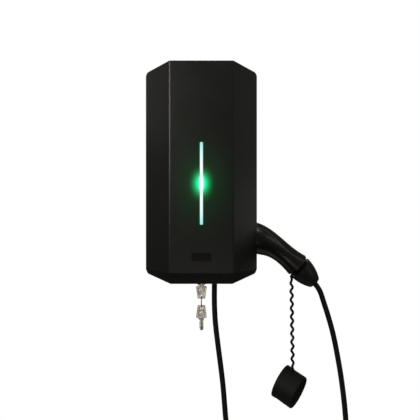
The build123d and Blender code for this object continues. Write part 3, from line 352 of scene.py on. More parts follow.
def moulded_plastic(name, colour, roughness, grain=1.0, specular=0.35):
    """Black moulding with fine grain."""
    finish = Finish(name, Specular_IOR_Level=specular)
    fine = finish.noise(GRAIN_SCALE, detail=2.0)
    broad = finish.noise(CLOUD_SCALE)
    lighter = [c * 1.4 + 0.0006 for c in colour]
    finish.set("Base Color", finish.mix(broad * 0.6 + fine * 0.4, colour, lighter))
    finish.set("Roughness", roughness + 0.08 * (broad - 0.5) + 0.06 * (fine - 0.5))
    finish.bump(fine, GRAIN_DEPTH * grain, strength=0.35)
    return finish


cover_finish = moulded_plastic("cover_satin_black", (0.0028, 0.0028, 0.0021), roughness=0.37, specular=0.28)
base_finish = moulded_plastic("base_matte_black", (0.0060, 0.0060, 0.0050), roughness=0.55)
print("black mouldings ready")


# %% [markdown]
# ## Halo of the light
# The light strip has a green halo on the panel: nearly white beside the strip's middle, then bright green,
# then gone within a few centimetres, and taller than it is wide. A thin line of green also follows the
# strip's edges. A strip that lies flush can't light the panel round it, so the halo is painted as emission
# that depends only on the distance from the strip, and it stays on the panel from every side.

# %% Halo of the light
LIGHT_LOW, LIGHT_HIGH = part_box("light_guide")
LIGHT_Z = (LIGHT_LOW.z + LIGHT_HIGH.z) / 2
STRIP_HALF_L = 0.0725
STRIP_HALF_W = 0.0031
PANEL_DEPTH = 0.0006
HALO_CORE = (0.0, 1.0, 0.44)
HALO_TAIL = (0.0, 1.0, 0.20)
HALO_SQUASH = 0.70
HALO_REACH, HALO_STRENGTH = 0.0103, 1.55
WIDE_REACH, WIDE_STRENGTH = 0.040, 0.024
EDGE_REACH, EDGE_STRENGTH = 0.0011, 0.07
WHITE_REACH, WHITE_HEIGHT, WHITE_SHARE = 0.0016, 0.015, 0.30


def bell_curve(value, width):
    """Smooth falloff from 1 at zero."""
    scaled = value / width
    return value.math("POWER", math.e, scaled * scaled * -1.0)


across, deep, up = cover_finish.axes()
rise = up - LIGHT_Z
on_panel = deep.math("LESS_THAN", deep, FRONT_Y + PANEL_DEPTH)
aside = across.math("ABSOLUTE", across)
from_edge = aside.math("MAXIMUM", aside - STRIP_HALF_W, 0.0)
reach = (across * across + (rise * HALO_SQUASH) ** 2.0) ** 0.5
glow = bell_curve(reach, HALO_REACH) * HALO_STRENGTH + bell_curve(reach, WIDE_REACH) * WIDE_STRENGTH
on_length = rise.math("LESS_THAN", rise.math("ABSOLUTE", rise), STRIP_HALF_L)
beside = on_length * bell_curve(from_edge, EDGE_REACH)
lit = on_panel * glow.math("MINIMUM", glow + beside * EDGE_STRENGTH, 1.0)
whitened = bell_curve(from_edge, WHITE_REACH) * bell_curve(rise, WHITE_HEIGHT)
halo_green = cover_finish.mix(lit, HALO_TAIL, HALO_CORE)
halo_colour = cover_finish.mix(whitened * WHITE_SHARE, halo_green, (1, 1, 1))
cover_finish.set("Emission Color", cover_finish.mix(lit, (0, 0, 0), halo_colour))
cover_finish.set("Emission Strength", 1.0)
print("halo at z", round(LIGHT_Z, 4))


# %% [markdown]
# ## Light strip
# A clear bar carries light from a row of lamps behind it. Its middle is burnt out to white over its whole
# width. Towards the ends it turns mint green, and the lit core is narrower than the bar, so its rim goes to
# a deep green. Height and width on the bar give both, which keeps the strip one plain solid.

# %% Light strip
STRIP_WHITE = (1.0, 1.0, 1.0)
STRIP_MINT = (0.27, 0.86, 0.77)
STRIP_RIM = (0.004, 0.14, 0.08)
MINT_POWER = 3.0
MINT_AT_EDGE = 0.3
BURNT_HEIGHT = 0.016
RIM_FROM, RIM_STEEP = 0.5, 4.0

light_finish = Finish("light_strip_lit", Base_Color=(0.02, 0.03, 0.03, 1), Roughness=0.25)
strip_side, _, strip_up = light_finish.axes()
strip_rise = strip_up - LIGHT_Z
from_middle = strip_rise.math("ABSOLUTE", strip_rise) / STRIP_HALF_L
strip_edge = (strip_side / STRIP_HALF_W) ** 2.0
mint_share = from_middle ** MINT_POWER + strip_edge * MINT_AT_EDGE * from_middle
along = light_finish.mix(mint_share, STRIP_WHITE, STRIP_MINT)
rim_share = (strip_edge - RIM_FROM) * RIM_STEEP * (1.0 - bell_curve(strip_rise, BURNT_HEIGHT))
light_finish.set("Emission Color", light_finish.mix(rim_share, along, STRIP_RIM))
light_finish.set("Emission Strength", 1.0)
print("strip half length", STRIP_HALF_L)


# %% [markdown]
# ## Rubber, cable sheath and connector plastic
# The connector is smoother than the cover and shows clear highlights. The dust cap, collar and lanyard are
# soft rubber: dull, a touch dusty. The bell and the cable sheath lie between, with fine marks from
# moulding and extrusion. Dust is broad noise in the colour, because a layer of its own would look caked.

# %% Rubber, sheath and connector plastic
DUST_SCALE = 60.0
SKIN_SCALE = 2200.0
SKIN_DEPTH = 0.00010


def soft_rubber(name, colour, roughness, dust):
    """Dull black rubber with a little dust in its broad noise."""
    finish = Finish(name, Specular_IOR_Level=0.14)
    broad = finish.noise(DUST_SCALE, detail=4.0)
    fine = finish.noise(SKIN_SCALE, detail=2.0)
    finish.set("Base Color", finish.mix(dust * broad, colour, [c * 1.8 + 0.002 for c in colour]))
    finish.set("Roughness", roughness + 0.12 * (broad - 0.5))
    finish.bump(fine * 0.5 + broad * 0.5, SKIN_DEPTH, strength=0.4)
    return finish


connector_finish = moulded_plastic("connector_smooth_black", (0.0026, 0.0026, 0.0019), roughness=0.30,
                                   grain=0.4, specular=0.40)
rubber_finish = soft_rubber("rubber_matte_black", (0.0016, 0.0016, 0.0011), roughness=0.66, dust=0.12)
bell_finish = soft_rubber("bell_satin_black", (0.0070, 0.0070, 0.0050), roughness=0.38, dust=0.4)
cable_finish = soft_rubber("cable_sheath_black", (0.0040, 0.0040, 0.0033), roughness=0.46, dust=0.3)
carrier_finish = moulded_plastic("carrier_dark_grey", (0.05, 0.05, 0.05), roughness=0.5)
plate_finish = moulded_plastic("plate_gloss_black", (0.0012, 0.0012, 0.0010), roughness=0.30,
                               grain=0.1, specular=0.16)
print("black finishes", len(bpy.data.materials))


# %% [markdown]
# ## Metals
# Keys and lock are nickel plated and a little worn: warm grey with fine scratches along the metal and
# duller patches from handling, the lock brighter than the keys. Rail, screws and bracket are zinc plated
# steel, cooler and more even. Noise that is stretched along one axis gives the scratches their direction.

# %% Metals
STREAK_SCALE = 900.0
PATCH_SCALE = 140.0
STREAK_DEPTH = 0.00004


def plated_metal(name, colour, worn, roughness, stretch):
    """Plated metal with streaky gloss and worn patches."""
    finish = Finish(name, Metallic=1.0)
    stretched = finish.node("ShaderNodeMapping", None, {"Vector": finish.place, "Scale": stretch})
    streaks = finish.noise(STREAK_SCALE, roughness=0.6, vector=stretched.outputs["Vector"])
    patches = finish.noise(PATCH_SCALE)
    finish.set("Base Color", finish.mix(patches, colour, worn))
    finish.set("Roughness", roughness + 0.18 * (streaks - 0.5) + 0.2 * (patches - 0.5))
    finish.bump(streaks, STREAK_DEPTH, strength=0.5)
    return finish


ALONG_X, ALONG_Y, ALONG_Z = (0.1, 1, 1), (1, 0.1, 1), (1, 1, 0.1)
nickel_finish = plated_metal("nickel_worn", (0.90, 0.84, 0.75), worn=(0.72, 0.65, 0.56),
                             roughness=0.36, stretch=ALONG_Z)
lock_finish = plated_metal("lock_bright_nickel", (0.94, 0.86, 0.74), worn=(0.86, 0.76, 0.62),
                           roughness=0.20, stretch=ALONG_Z)
zinc_finish = plated_metal("zinc_steel", (0.62, 0.63, 0.63), worn=(0.50, 0.51, 0.52),
                           roughness=0.38, stretch=ALONG_X)
contact_finish = plated_metal("contact_plated_brass", (0.80, 0.74, 0.62), worn=(0.66, 0.58, 0.44),
                              roughness=0.25, stretch=ALONG_X)
print("metals ready")


# %% [markdown]
# ## Inside the case
# With the cover open, the box shows what an electrician sees: light grey devices, a green board with dark
# parts, and coloured wires. The board's parts are told from the board by their height, so one finish
# serves the whole soldered piece.

# %% Inside the case
DEVICE_GRAIN = 900.0
DEVICE_CLOUD = 30.0
DEVICE_DEPTH = 0.00008
TRACK_SCALE = 260.0
TRACK_LEVEL = 0.52
BOARD_THICK = 0.0016
PART_RISE = 0.0004
BOARD_GREEN = (0.010, 0.075, 0.035)
TRACK_GREEN = (0.020, 0.120, 0.055)
PART_BLACK = (0.02, 0.02, 0.022)


def device_plastic(name, colour):
    """Light housing plastic with a fine grain."""
    finish = Finish(name, Specular_IOR_Level=0.4)
    grain = finish.noise(DEVICE_GRAIN, detail=2.0)
    broad = finish.noise(DEVICE_CLOUD, detail=2.0)
    finish.set("Base Color", finish.mix(broad, colour, [c * 0.86 for c in colour]))
    finish.set("Roughness", 0.48 + 0.1 * (grain - 0.5))
    finish.bump(grain, DEVICE_DEPTH, strength=0.4)
    return finish


def circuit_board(name, face_y):
    """Green board whose raised parts are dark."""
    finish = Finish(name, Specular_IOR_Level=0.4)
    _, depth, _ = finish.axes()
    raised = depth.math("LESS_THAN", depth, face_y - PART_RISE)
    pattern = finish.noise(TRACK_SCALE, detail=1.0)
    tracks = pattern.math("GREATER_THAN", pattern, TRACK_LEVEL)
    green = finish.mix(tracks, BOARD_GREEN, TRACK_GREEN)
    finish.set("Base Color", finish.mix(raised, green, PART_BLACK))
    finish.set("Roughness", 0.35 + 0.2 * raised)
    return finish


board_finish = circuit_board("board_green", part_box("control_board")[1].y - BOARD_THICK)
light_board_finish = circuit_board("light_board_green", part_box("light_board")[0].y)
device_finish = device_plastic("device_light_grey", (0.55, 0.56, 0.55))
toggle_finish = device_plastic("toggle_dark", (0.03, 0.035, 0.05))
wire_finish = device_plastic("wire_brown", (0.10, 0.045, 0.02))
print("finishes", len(bpy.data.materials))


# %% [markdown]
# ## Dressing the solids
# Each solid of the frame takes the finish of its real material. The solids keep their shape and their slots:
# only what fills a slot changes.

# %% Dressing the solids
def dress(finish, *names):
    """Give CAD nodes a finish."""
    for name in names:
        for place in nodes[name].material_slots:
            place.material = finish.material


dress(cover_finish, "front_cover")
dress(base_finish, "base_tray", "holster_cup", "charging_gland", "supply_gland", "charging_gland_dome",
      "supply_gland_dome", "gland_locknuts", "board_standoffs")
dress(plate_finish, "front_plate")
dress(light_finish, "light_guide")
dress(connector_finish, "connector_shell")
dress(rubber_finish, "case_gasket", "gland_seals", "lanyard_collar", "dust_cap", "coil_tie")
dress(bell_finish, "cable_bell")
dress(carrier_finish, "contact_carrier")
dress(contact_finish, "contact_sleeves")
dress(lock_finish, "lock_body", "lock_plug")
dress(nickel_finish, "lock_key", "key_ring", "spare_key")
dress(zinc_finish, "lock_nut", "lock_cam", "cam_screw", "keeper_bracket", "keeper_screws", "holster_screws",
      "din_rail", "rail_screws", "board_screws", "light_board_screws")
dress(device_finish, "supply_terminals", "breaker", "contactor")
dress(toggle_finish, "breaker_toggle")
dress(board_finish, "control_board")
dress(light_board_finish, "light_board")
dress(wire_finish, "feeder_wires", "load_wires")
print("dressed", len(nodes), "nodes")


# %% [markdown]
# ## Coil of the cable
# The cable is one length of sheathed copper, and its spare turns hang in a tied coil below the picture. The
# coil's turns lie in lanes a diameter apart, and each turn moves to its next lane a little earlier than the
# turn before, so no turn runs through another. A plain helix would be longer than a tied coil is.

# %% Coil of the cable
CABLE_D = 0.011
CABLE_Y = -0.038
COIL_CENTRE = (0.220, -0.700)
COIL_TURNS = 7.5
LANE_STEP = 0.0114
MIDDLE_R = 0.066
LANES = [(1, 1), (0, 1), (-1, 1), (-1, 0), (-1, -1), (0, -1), (0, 0), (1, 0), (1, -1)]
POINTS_PER_TURN = 18
LANE_SHIFT = 0.12
FIRST_SHIFT = 0.93


def lane_at(turn):
    """Lane of the coil at a number of turns, easing from each lane to the next."""
    here = Vector(LANES[0])
    for index in range(1, len(LANES)):
        begin = FIRST_SHIFT + (index - 1) * (1.0 - LANE_SHIFT)
        share = min(max((turn - begin) / LANE_SHIFT, 0.0), 1.0)
        here = here.lerp(Vector(LANES[index]), share * share * (3 - 2 * share))
    return here


def coil_points(turns):
    """Turns of the coil: in at the left going down, out at the right going up."""
    points = []
    for step in range(round(turns * POINTS_PER_TURN) + 1):
        turn = step / POINTS_PER_TURN
        outward, back = lane_at(turn)
        angle = math.pi + 2 * math.pi * turn
        radius = MIDDLE_R + outward * LANE_STEP
        points.append((COIL_CENTRE[0] + radius * math.cos(angle), CABLE_Y + back * LANE_STEP,
                       COIL_CENTRE[1] + radius * math.sin(angle)))
    return points


coil = coil_points(COIL_TURNS)
print("coil of", COIL_TURNS, "turns,", len(coil), "points")


# %% [markdown]
# ## Cords as curves
# A cord is drawn as one smooth spline. Its length is read from the bare curve, then a round bevel gives it
# its thickness, and it is made a mesh. Extruding a circle along the path by hand would twist it.

# %% Cords as curves
def spline_curve(name, points, resolution):
    """Curve object with one smooth open spline."""
    data = bpy.data.curves.new(name, "CURVE")
    data.dimensions = "3D"
    data.resolution_u = resolution
    spline = data.splines.new("NURBS")
    spline.points.add(len(points) - 1)
    for place, point in zip(spline.points, points):
        place.co = (*point, 1.0)
    spline.order_u = 3
    spline.use_endpoint_u = True
    made = bpy.data.objects.new(name, data)
    bpy.context.scene.collection.objects.link(made)
    return made


def centre_line(curve):
    """Points along a curve that has no bevel."""
    bpy.context.view_layer.update()
    line = bpy.data.meshes.new_from_object(curve)
    points = [v.co.copy() for v in line.vertices]
    bpy.data.meshes.remove(line)
    return points


def run_length(points):
    return sum((b - a).length for a, b in zip(points, points[1:]))


def only(piece):
    """Select one piece alone and make it active."""
    bpy.ops.object.select_all(action="DESELECT")
    piece.select_set(True)
    bpy.context.view_layer.objects.active = piece


def make_tube(curve, radius, sides, capped=True):
    """Give a curve its thickness and turn it into a mesh."""
    curve.data.bevel_depth = radius
    curve.data.bevel_resolution = sides
    curve.data.use_fill_caps = capped
    only(curve)
    bpy.ops.object.convert(target="MESH")
    bpy.ops.object.shade_smooth()
    return bpy.context.object


def paint(piece, finish):
    """Give a new piece its finish."""
    piece.data.materials.clear()
    piece.data.materials.append(finish.material)


print("cord helpers ready")


# %% [markdown]
# ## Charging cable
# The cable leaves its gland, hangs down under its own weight, goes round the coil and comes up again into
# the bell of the connector. Both runs are set out in millimetres on the cable's own plane. It is one piece
# without joints.

# %% Charging cable
MM = 0.001
RUN_DOWN = [(27, -178), (27, -220), (26.4, -262), (28.2, -304), (33.2, -346), (39, -390), (44.2, -432),
            (47.6, -474), (51, -517), (60, -560), (78, -600), (104, -635), (128, -666)]
RUN_UP = [(298.4, -632), (298.4, -586), (298.6, -540), (296, -496), (291.5, -452), (285.5, -408),
          (278, -366), (270.4, -328), (260.6, -293), (250.5, -262), (241.31, -233.11), (220.10, -211.90)]
COIL_OUT = [(0.2975, -0.0465, -0.672)]


def on_plane(points):
    return [(x * MM, CABLE_Y, z * MM) for x, z in points]


cable_points = on_plane(RUN_DOWN) + coil + COIL_OUT + on_plane(RUN_UP)
cable = spline_curve("charging_cable", cable_points, resolution=6)
cable_path = centre_line(cable)
cable = make_tube(cable, CABLE_D / 2, sides=5)
paint(cable, cable_finish)
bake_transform(cable)
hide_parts("cable_lower", "cable_upper", "cable_coil")


# %% [markdown]
# ## Lanyard
# A thin rubber lanyard, moulded in waves so that it can stretch, ties the dust cap to the connector. Its
# route is a spline from the collar's eye to the cap's eye. The waves are set out from points read off that
# route, so they hang along it whatever its shape.

# %% Lanyard
LANYARD_D = 0.0050
WAVE_HEIGHT = 0.0021
WAVES = 11
WAVE_POINTS = 14
CALM_ENDS = 12
COLLAR_EYE = Vector((0.18164, -0.05337, -0.20822))
CAP_EYE = Vector((0.18525, -0.04916, -0.39725))


def waved(points, waves, height, sideways):
    """Line that swings from side to side along the given points, still at both ends."""
    total = run_length(points)
    count = waves * WAVE_POINTS
    line = []
    walked = 0.0
    index = 0
    for step in range(count + 1):
        target = total * step / count
        while index < len(points) - 2 and walked + (points[index + 1] - points[index]).length < target:
            walked += (points[index + 1] - points[index]).length
            index += 1
        piece = points[index + 1] - points[index]
        here = points[index] + piece.normalized() * (target - walked)
        share = step / count
        calm = min(1.0, CALM_ENDS * share, CALM_ENDS * (1 - share))
        line.append(here + sideways * (height * calm * math.sin(2 * math.pi * waves * share)))
    return line


route_bends = [COLLAR_EYE, COLLAR_EYE.lerp(CAP_EYE, 0.5), CAP_EYE]
route = spline_curve("lanyard_route", route_bends, resolution=80)
route_points = centre_line(route)
bpy.data.objects.remove(route)
wave_points = waved(route_points, WAVES, WAVE_HEIGHT, sideways=Vector((1, 0, 0)))
lanyard = spline_curve("lanyard_wave", wave_points, resolution=3)
lanyard_path = centre_line(lanyard)
lanyard = make_tube(lanyard, LANYARD_D / 2, sides=3)
paint(lanyard, rubber_finish)
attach(lanyard, "connector")
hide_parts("lanyard")


# %% [markdown]
# ## Working on a mesh
# The next pieces are shaped in edit mode. An operator acts on all that is selected, so these helpers select
# one piece alone, pick faces or edges by their place and direction, and apply each modifier at once. A
# solid's copy is first merged and cleaned of its triangles, because the frame's mesh is loose triangles.

# %% Working on a mesh
ALIGNED = 0.9  # a direction with a larger share than this runs along the axis
SAME_PLACE = 1e-6
FLAT_ANGLE = math.radians(0.5)
SMOOTH_ANGLE = math.radians(40)


def start_edit(piece, mode="FACE"):
    """Enter edit mode on one piece with everything deselected."""
    only(piece)
    bpy.ops.object.mode_set(mode="EDIT")
    bpy.ops.mesh.select_mode(type=mode)
    bpy.ops.mesh.select_all(action="DESELECT")


def end_edit():
    bpy.ops.object.mode_set(mode="OBJECT")
    return bpy.context.object


def pick(piece, kind, test):
    """Enter edit mode with the faces or edges that pass a test on their middle and direction."""
    mesh = piece.data
    for face in mesh.polygons:
        face.select = kind == "FACE" and test(face.center, face.normal)
    if kind == "EDGE":
        for edge in mesh.edges:
            a, b = (mesh.vertices[i].co for i in edge.vertices)
            edge.select = test((a + b) / 2, (b - a).normalized())
    bpy.ops.object.mode_set(mode="EDIT")


def blank(kind, low, high):
    """Cube between two corners, with its place in its mesh, ready to pick faces or edges."""
    low, high = Vector(low), Vector(high)
    bpy.ops.object.select_all(action="DESELECT")
    bpy.ops.mesh.primitive_cube_add(size=1, location=(low + high) / 2, scale=high - low)
    piece = bpy.context.object
    bpy.ops.object.transform_apply(location=True, scale=True)
    start_edit(piece, kind)
    return end_edit()


def solid_copy(node, name):
    """Free copy of a CAD node's mesh, with its loose triangles merged into flat faces."""
    piece = bpy.data.objects.new(name, nodes[node].data.copy())
    bpy.context.scene.collection.objects.link(piece)
    start_edit(piece)
    bpy.ops.mesh.select_all(action="SELECT")
    bpy.ops.mesh.remove_doubles(threshold=SAME_PLACE)
    bpy.ops.mesh.dissolve_limited(angle_limit=FLAT_ANGLE)
    return end_edit()


def finish_modifier(piece, kind, **settings):
    """Add one modifier to a piece and apply it."""
    only(piece)
    modifier = piece.modifiers.new(kind.lower(), kind)
    for key, value in settings.items():
        setattr(modifier, key, value)
    bpy.ops.object.modifier_apply(modifier=modifier.name)


def round_edges(piece, width, segments=2, angle=35):
    """Bevel the edges that turn by more than an angle in degrees."""
    finish_modifier(piece, "BEVEL", width=width, segments=segments, limit_method="ANGLE",
                    angle_limit=math.radians(angle), harden_normals=False)
    bpy.ops.object.shade_smooth_by_angle(angle=SMOOTH_ANGLE)


print("mesh helpers ready")


# %% [markdown]
# ## Keys
# The two keys are stamped from nickel plated sheet, so their edges are broken, the bow has a pressed panel
# and the blade a milled groove on each side. The outline is already right in the frame, so a copy of that
# solid is quicker and truer than drawing it again. Cutters with rounded corners, a short wide one for the
# panel and a long thin one for the groove, are taken away by a Boolean modifier, and the edges are bevelled.

# %% Keys
SHOULDER = 0.023
PANEL_CUT, PANEL_HALF_W, PANEL_CORNER = 0.0003, 0.0056, 0.0018
PANEL_NEAR, PANEL_FAR = 0.0030, 0.0145
GROOVE_CUT, GROOVE_HALF_W, GROOVE_CORNER = 0.0005, 0.0009, 0.0004
GROOVE_NEAR, GROOVE_FAR = 0.0016, 0.0300
GROOVE_ASIDE = 0.0009
CUTTER_OUT = 0.001
KEY_EDGE = 0.00022


def cut_away(piece, low, high, corner):
    """Take away a block between two corners, with its edges along Y rounded."""
    cutter = blank("EDGE", low, high)
    pick(cutter, "EDGE", lambda middle, way: abs(way.y) > ALIGNED)
    bpy.ops.mesh.bevel(offset=corner, segments=5, affect="EDGES")
    end_edit()
    finish_modifier(piece, "BOOLEAN", operation="DIFFERENCE", solver="EXACT", object=cutter)
    bpy.data.objects.remove(cutter)


def stamped_key(node, name, body, way):
    """Key with a pressed bow and a grooved blade; way is 1 where the blade points up, -1 where down."""
    key = solid_copy(node, name)
    low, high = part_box(node)
    shoulder = low.z + SHOULDER if way > 0 else high.z - SHOULDER
    for face, inward, aside in ((low.y, 1, GROOVE_ASIDE), (high.y, -1, -GROOVE_ASIDE)):
        y0, y1 = sorted((face + inward * PANEL_CUT, face - inward * CUTTER_OUT))
        z0, z1 = sorted((shoulder - way * PANEL_NEAR, shoulder - way * PANEL_FAR))
        cut_away(key, (-PANEL_HALF_W, y0, z0), (PANEL_HALF_W, y1, z1), PANEL_CORNER)
        y0, y1 = sorted((face + inward * GROOVE_CUT, face - inward * CUTTER_OUT))
        z0, z1 = sorted((shoulder + way * GROOVE_NEAR, shoulder + way * GROOVE_FAR))
        cut_away(key, (aside - GROOVE_HALF_W, y0, z0), (aside + GROOVE_HALF_W, y1, z1), GROOVE_CORNER)
    round_edges(key, KEY_EDGE)
    paint(key, nickel_finish)
    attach(key, body)
    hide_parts(node)
    return key


for node, name, body, way in (("lock_key", "stamped_lock_key", "lock", 1),
                              ("spare_key", "stamped_spare_key", "spare", -1)):
    key = stamped_key(node, name, body, way)
    print(name, len(key.data.polygons), "faces")


# %% [markdown]
# ## Key ring
# A split ring is flat spring wire wound twice. One section of the wire is drawn as a stretched circle, and
# a Screw modifier winds it two turns with a pitch of one wire. The torus of the frame would look cast. The
# wire's two ends are then closed.

# %% Key ring
RING_WIRE = 0.00036
RING_FLAT = 0.00072
RING_PITCH = 0.00074
RING_TURNS = 2
RING_SIDES = 12
RING_STEPS = 56

ring_low, ring_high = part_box("key_ring")
ring_middle = (ring_low + ring_high) / 2
ring_radius = (ring_high.z - ring_low.z) / 2 - RING_FLAT
bpy.ops.object.select_all(action="DESELECT")
bpy.ops.mesh.primitive_circle_add(vertices=RING_SIDES, radius=RING_FLAT, location=(ring_radius, 0, 0),
                                  rotation=(math.radians(90), 0, 0))
split_ring = bpy.context.object
split_ring.name = "split_ring"
split_ring.scale = (1, RING_WIRE / RING_FLAT, 1)
bpy.ops.object.transform_apply(location=True, rotation=True, scale=True)
finish_modifier(split_ring, "SCREW", axis="Z", angle=2 * math.pi, steps=RING_STEPS, render_steps=RING_STEPS,
                iterations=RING_TURNS, screw_offset=RING_PITCH, use_merge_vertices=False)
start_edit(split_ring, "EDGE")
bpy.ops.mesh.select_all(action="SELECT")
bpy.ops.mesh.remove_doubles(threshold=1e-7)
bpy.ops.mesh.select_all(action="DESELECT")
bpy.ops.mesh.select_non_manifold()
bpy.ops.mesh.edge_face_add()
bpy.ops.mesh.select_all(action="SELECT")
bpy.ops.mesh.normals_make_consistent(inside=False)
end_edit()
split_ring.rotation_euler = (0, math.radians(90), 0)
bpy.ops.object.transform_apply(rotation=True)
split_ring.location = ring_middle - Vector((RING_PITCH * RING_TURNS / 2, 0, 0))
bpy.ops.object.transform_apply(location=True)
bpy.ops.object.shade_smooth_by_angle(angle=math.radians(50))
ring_finish = plated_metal("ring_dark_spring_steel", (0.10, 0.075, 0.055), worn=(0.05, 0.04, 0.03),
                           roughness=0.4, stretch=ALONG_Y)
paint(split_ring, ring_finish)
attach(split_ring, "ring")
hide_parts("key_ring")
print("split ring", round(ring_radius * 2000, 1), "mm across")


# %% [markdown]
# ## Strap of the coil
# A hook-and-loop strap holds the spare turns together. It goes once round the bundle, through a small
# buckle and back over itself. One corner of the bundle has no turn in it, so the strap runs straight across
# there. A cube without its two ends is the loop: bevels round its corners, a copied stretch becomes the
# second layer, and Solidify gives the webbing its thickness.

# %% Strap of the coil
TIE_W = 0.014
TIE_T = 0.0013
LAYER_GAP = 1.15
BUNDLE_HALF = 0.0174
EMPTY_CORNER = 0.0151
WEBBING_BEND = 0.0048
WEBBING_EDGE = 0.0003

tie_low, tie_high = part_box("coil_tie")
tie_middle = (tie_low + tie_high) / 2
half_loop = Vector((TIE_W / 2, BUNDLE_HALF, BUNDLE_HALF))


def across_strap(middle, way):
    return abs(way.x) > ALIGNED


def at_empty_corner(middle, way):
    return across_strap(middle, way) and middle.y < tie_middle.y and middle.z > tie_middle.z


def in_second_layer(middle, normal):
    return normal.y < -0.5 or normal.z < -0.72 and middle.y < tie_middle.y


strap = blank("FACE", tie_middle - half_loop, tie_middle + half_loop)
strap.name = "coil_tie_strap"
pick(strap, "FACE", across_strap)
bpy.ops.mesh.delete(type="FACE")
bpy.ops.mesh.select_mode(type="EDGE")
end_edit()
pick(strap, "EDGE", at_empty_corner)
bpy.ops.mesh.bevel(offset=EMPTY_CORNER, segments=1, affect="EDGES")
end_edit()
pick(strap, "EDGE", across_strap)
bpy.ops.mesh.bevel(offset=WEBBING_BEND, segments=5, affect="EDGES")
bpy.ops.mesh.select_mode(type="FACE")
end_edit()
pick(strap, "FACE", in_second_layer)
bpy.ops.mesh.duplicate()
bpy.ops.transform.shrink_fatten(value=TIE_T * LAYER_GAP)
bpy.ops.mesh.select_all(action="SELECT")
end_edit()
finish_modifier(strap, "SOLIDIFY", thickness=TIE_T, offset=1.0)
round_edges(strap, WEBBING_EDGE)
print("strap", len(strap.data.polygons), "faces")


# %% [markdown]
# ## Buckle of the strap
# The buckle is a small moulded frame. A block's front and back are inset and bridged, which opens a window
# through it, and the edges are rounded.

# %% Buckle of the strap
BUCKLE_HALF_W = 0.0095
BUCKLE_FRONT, BUCKLE_BACK = 0.0030, 0.0012
BUCKLE_LOW, BUCKLE_HIGH = 0.0125, 0.0030
BUCKLE_WALL = 0.0022
BUCKLE_EDGE = 0.0006

buckle_low = (tie_middle.x - BUCKLE_HALF_W, tie_low.y - BUCKLE_FRONT, tie_middle.z - BUCKLE_LOW)
buckle_high = (tie_middle.x + BUCKLE_HALF_W, tie_low.y + BUCKLE_BACK, tie_middle.z - BUCKLE_HIGH)
buckle = blank("FACE", buckle_low, buckle_high)
buckle.name = "coil_tie_buckle"
pick(buckle, "FACE", lambda middle, normal: abs(normal.y) > ALIGNED)
bpy.ops.mesh.inset(thickness=BUCKLE_WALL, use_individual=True)
bpy.ops.mesh.bridge_edge_loops()
end_edit()
round_edges(buckle, BUCKLE_EDGE, segments=3)
print("buckle", len(buckle.data.polygons), "faces")


# %% [markdown]
# ## Webbing
# Seen close, the strap is woven: ribs across it, crossed by finer threads. Two sine waves on the strap's own
# axes give the weave, and it raises the surface a little, which catches light as cloth does.

# %% Webbing
RIB_RATE = 5200.0
THREAD_RATE = 7400.0
WEAVE_DEPTH = 0.00025


def woven_webbing(name, colour):
    """Black webbing: ribs across the strap, crossed by finer threads."""
    finish = Finish(name, Specular_IOR_Level=0.2)
    along, back, up = finish.axes()
    round_loop = back + up
    ribs = round_loop.math("SINE", round_loop * RIB_RATE)
    threads = along.math("SINE", along * THREAD_RATE)
    weave = ribs * threads * 0.5 + 0.5
    finish.set("Base Color", finish.mix(weave, colour, [c * 2.2 for c in colour]))
    finish.set("Roughness", 0.75 + 0.15 * weave)
    finish.bump(weave, WEAVE_DEPTH, strength=0.7)
    return finish


tie_finish = woven_webbing("tie_woven_black", (0.008, 0.008, 0.008))
paint(strap, tie_finish)
paint(buckle, base_finish)
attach(strap, "base")
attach(buckle, "base")
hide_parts("coil_tie")
print("tie dressed")


# %% [markdown]
# ## Top strip of the grip
# A softer strip is moulded along the top of the grip. It has to follow the grip exactly, so it is a copy of
# the grip's own surface: cut to length and width with bisect, and then only the faces that look up are
# kept, as a thin sheet.

# %% Top strip of the grip
STRIP_W = 0.0376
GRIP_FROM_X = 0.1125
GRIP_TO = Vector((0.1962, CABLE_Y, -0.188))
GRIP_END_GAP = 0.0015
GRIP_WAY = Vector((1, 0, -1)).normalized()
GRIP_UP = Vector((0.4, 0, 1)).normalized()
UPWARD_SHARE = 0.3

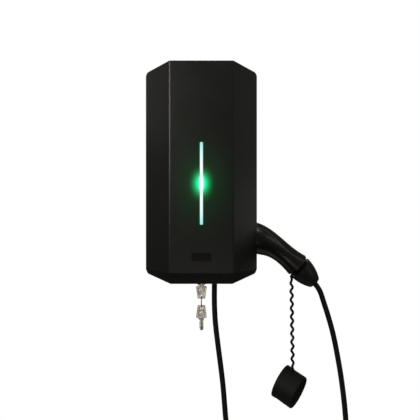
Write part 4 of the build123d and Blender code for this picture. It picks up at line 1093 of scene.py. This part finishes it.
top_strip = solid_copy("connector_shell", "grip_top_strip")
side = Vector((0, STRIP_W / 2, 0))
middle = Vector((0, CABLE_Y, 0))
cuts = ((middle + side, side), (middle - side, -side), (Vector((GRIP_FROM_X, 0, 0)), Vector((-1, 0, 0))),
        (GRIP_TO - GRIP_WAY * GRIP_END_GAP, GRIP_WAY))
start_edit(top_strip)
for place, outward in cuts:
    bpy.ops.mesh.select_all(action="SELECT")
    bpy.ops.mesh.bisect(plane_co=place, plane_no=outward.normalized(), clear_outer=True)
bpy.ops.mesh.select_all(action="DESELECT")
end_edit()
pick(top_strip, "FACE", lambda middle, normal: normal.dot(GRIP_UP) < UPWARD_SHARE)
bpy.ops.mesh.delete(type="FACE")
end_edit()
print("sheet", len(top_strip.data.polygons), "faces")


# %% [markdown]
# ## Edge of the strip
# A round bead runs along the strip's border and draws the bright line that the picture shows: its round top
# catches the lamps, and its light tan colour is a painted highlight. The sheet's open border is copied off
# and made a thin tube, which follows the strip by itself. Then Solidify gives the sheet its thickness, part
# of it sunk in the grip, and its rim is rounded.

# %% Edge of the strip
BEAD_R = 0.0009
STRIP_RISE = 0.0008
STRIP_SINK = 0.0003
STRIP_EDGE = 0.0003


def edge_bead(sheet, name, radius):
    """Round bead along the open border of a sheet."""
    before = set(bpy.data.objects)
    start_edit(sheet, "EDGE")
    bpy.ops.mesh.select_non_manifold(extend=False, use_wire=False, use_multi_face=False,
                                     use_non_contiguous=False, use_verts=False)
    bpy.ops.mesh.duplicate()
    bpy.ops.mesh.separate(type="SELECTED")
    end_edit()
    bead = (set(bpy.data.objects) - before).pop()
    bead.name = name
    only(bead)
    bpy.ops.object.convert(target="CURVE")
    return make_tube(bead, radius, sides=2, capped=False)


strip_bead = edge_bead(top_strip, "grip_strip_bead", BEAD_R)
thick = STRIP_RISE + STRIP_SINK
finish_modifier(top_strip, "SOLIDIFY", thickness=thick, offset=(STRIP_RISE - STRIP_SINK) / thick)
round_edges(top_strip, STRIP_EDGE, angle=50)
# The strip's rubber is lighter and warmer than the grip: painted light, for the top of the grip that faces
# the lamps.
painted_top_light_rubber = soft_rubber("grip_strip_painted_top_light", (0.0060, 0.0054, 0.0036), roughness=0.45, dust=0.4)
paint(top_strip, painted_top_light_rubber)
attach(top_strip, "connector")
# The bead's light tan colour is a painted highlight. The glint that its round top catches from the lamps is
# real.
painted_highlight_bead_rubber = soft_rubber("grip_bead_painted_highlight", (0.0560, 0.0490, 0.0330), roughness=0.28, dust=0.5)
paint(strip_bead, painted_highlight_bead_rubber)
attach(strip_bead, "connector")
print("top strip", len(top_strip.data.polygons), "faces, bead", len(strip_bead.data.polygons))
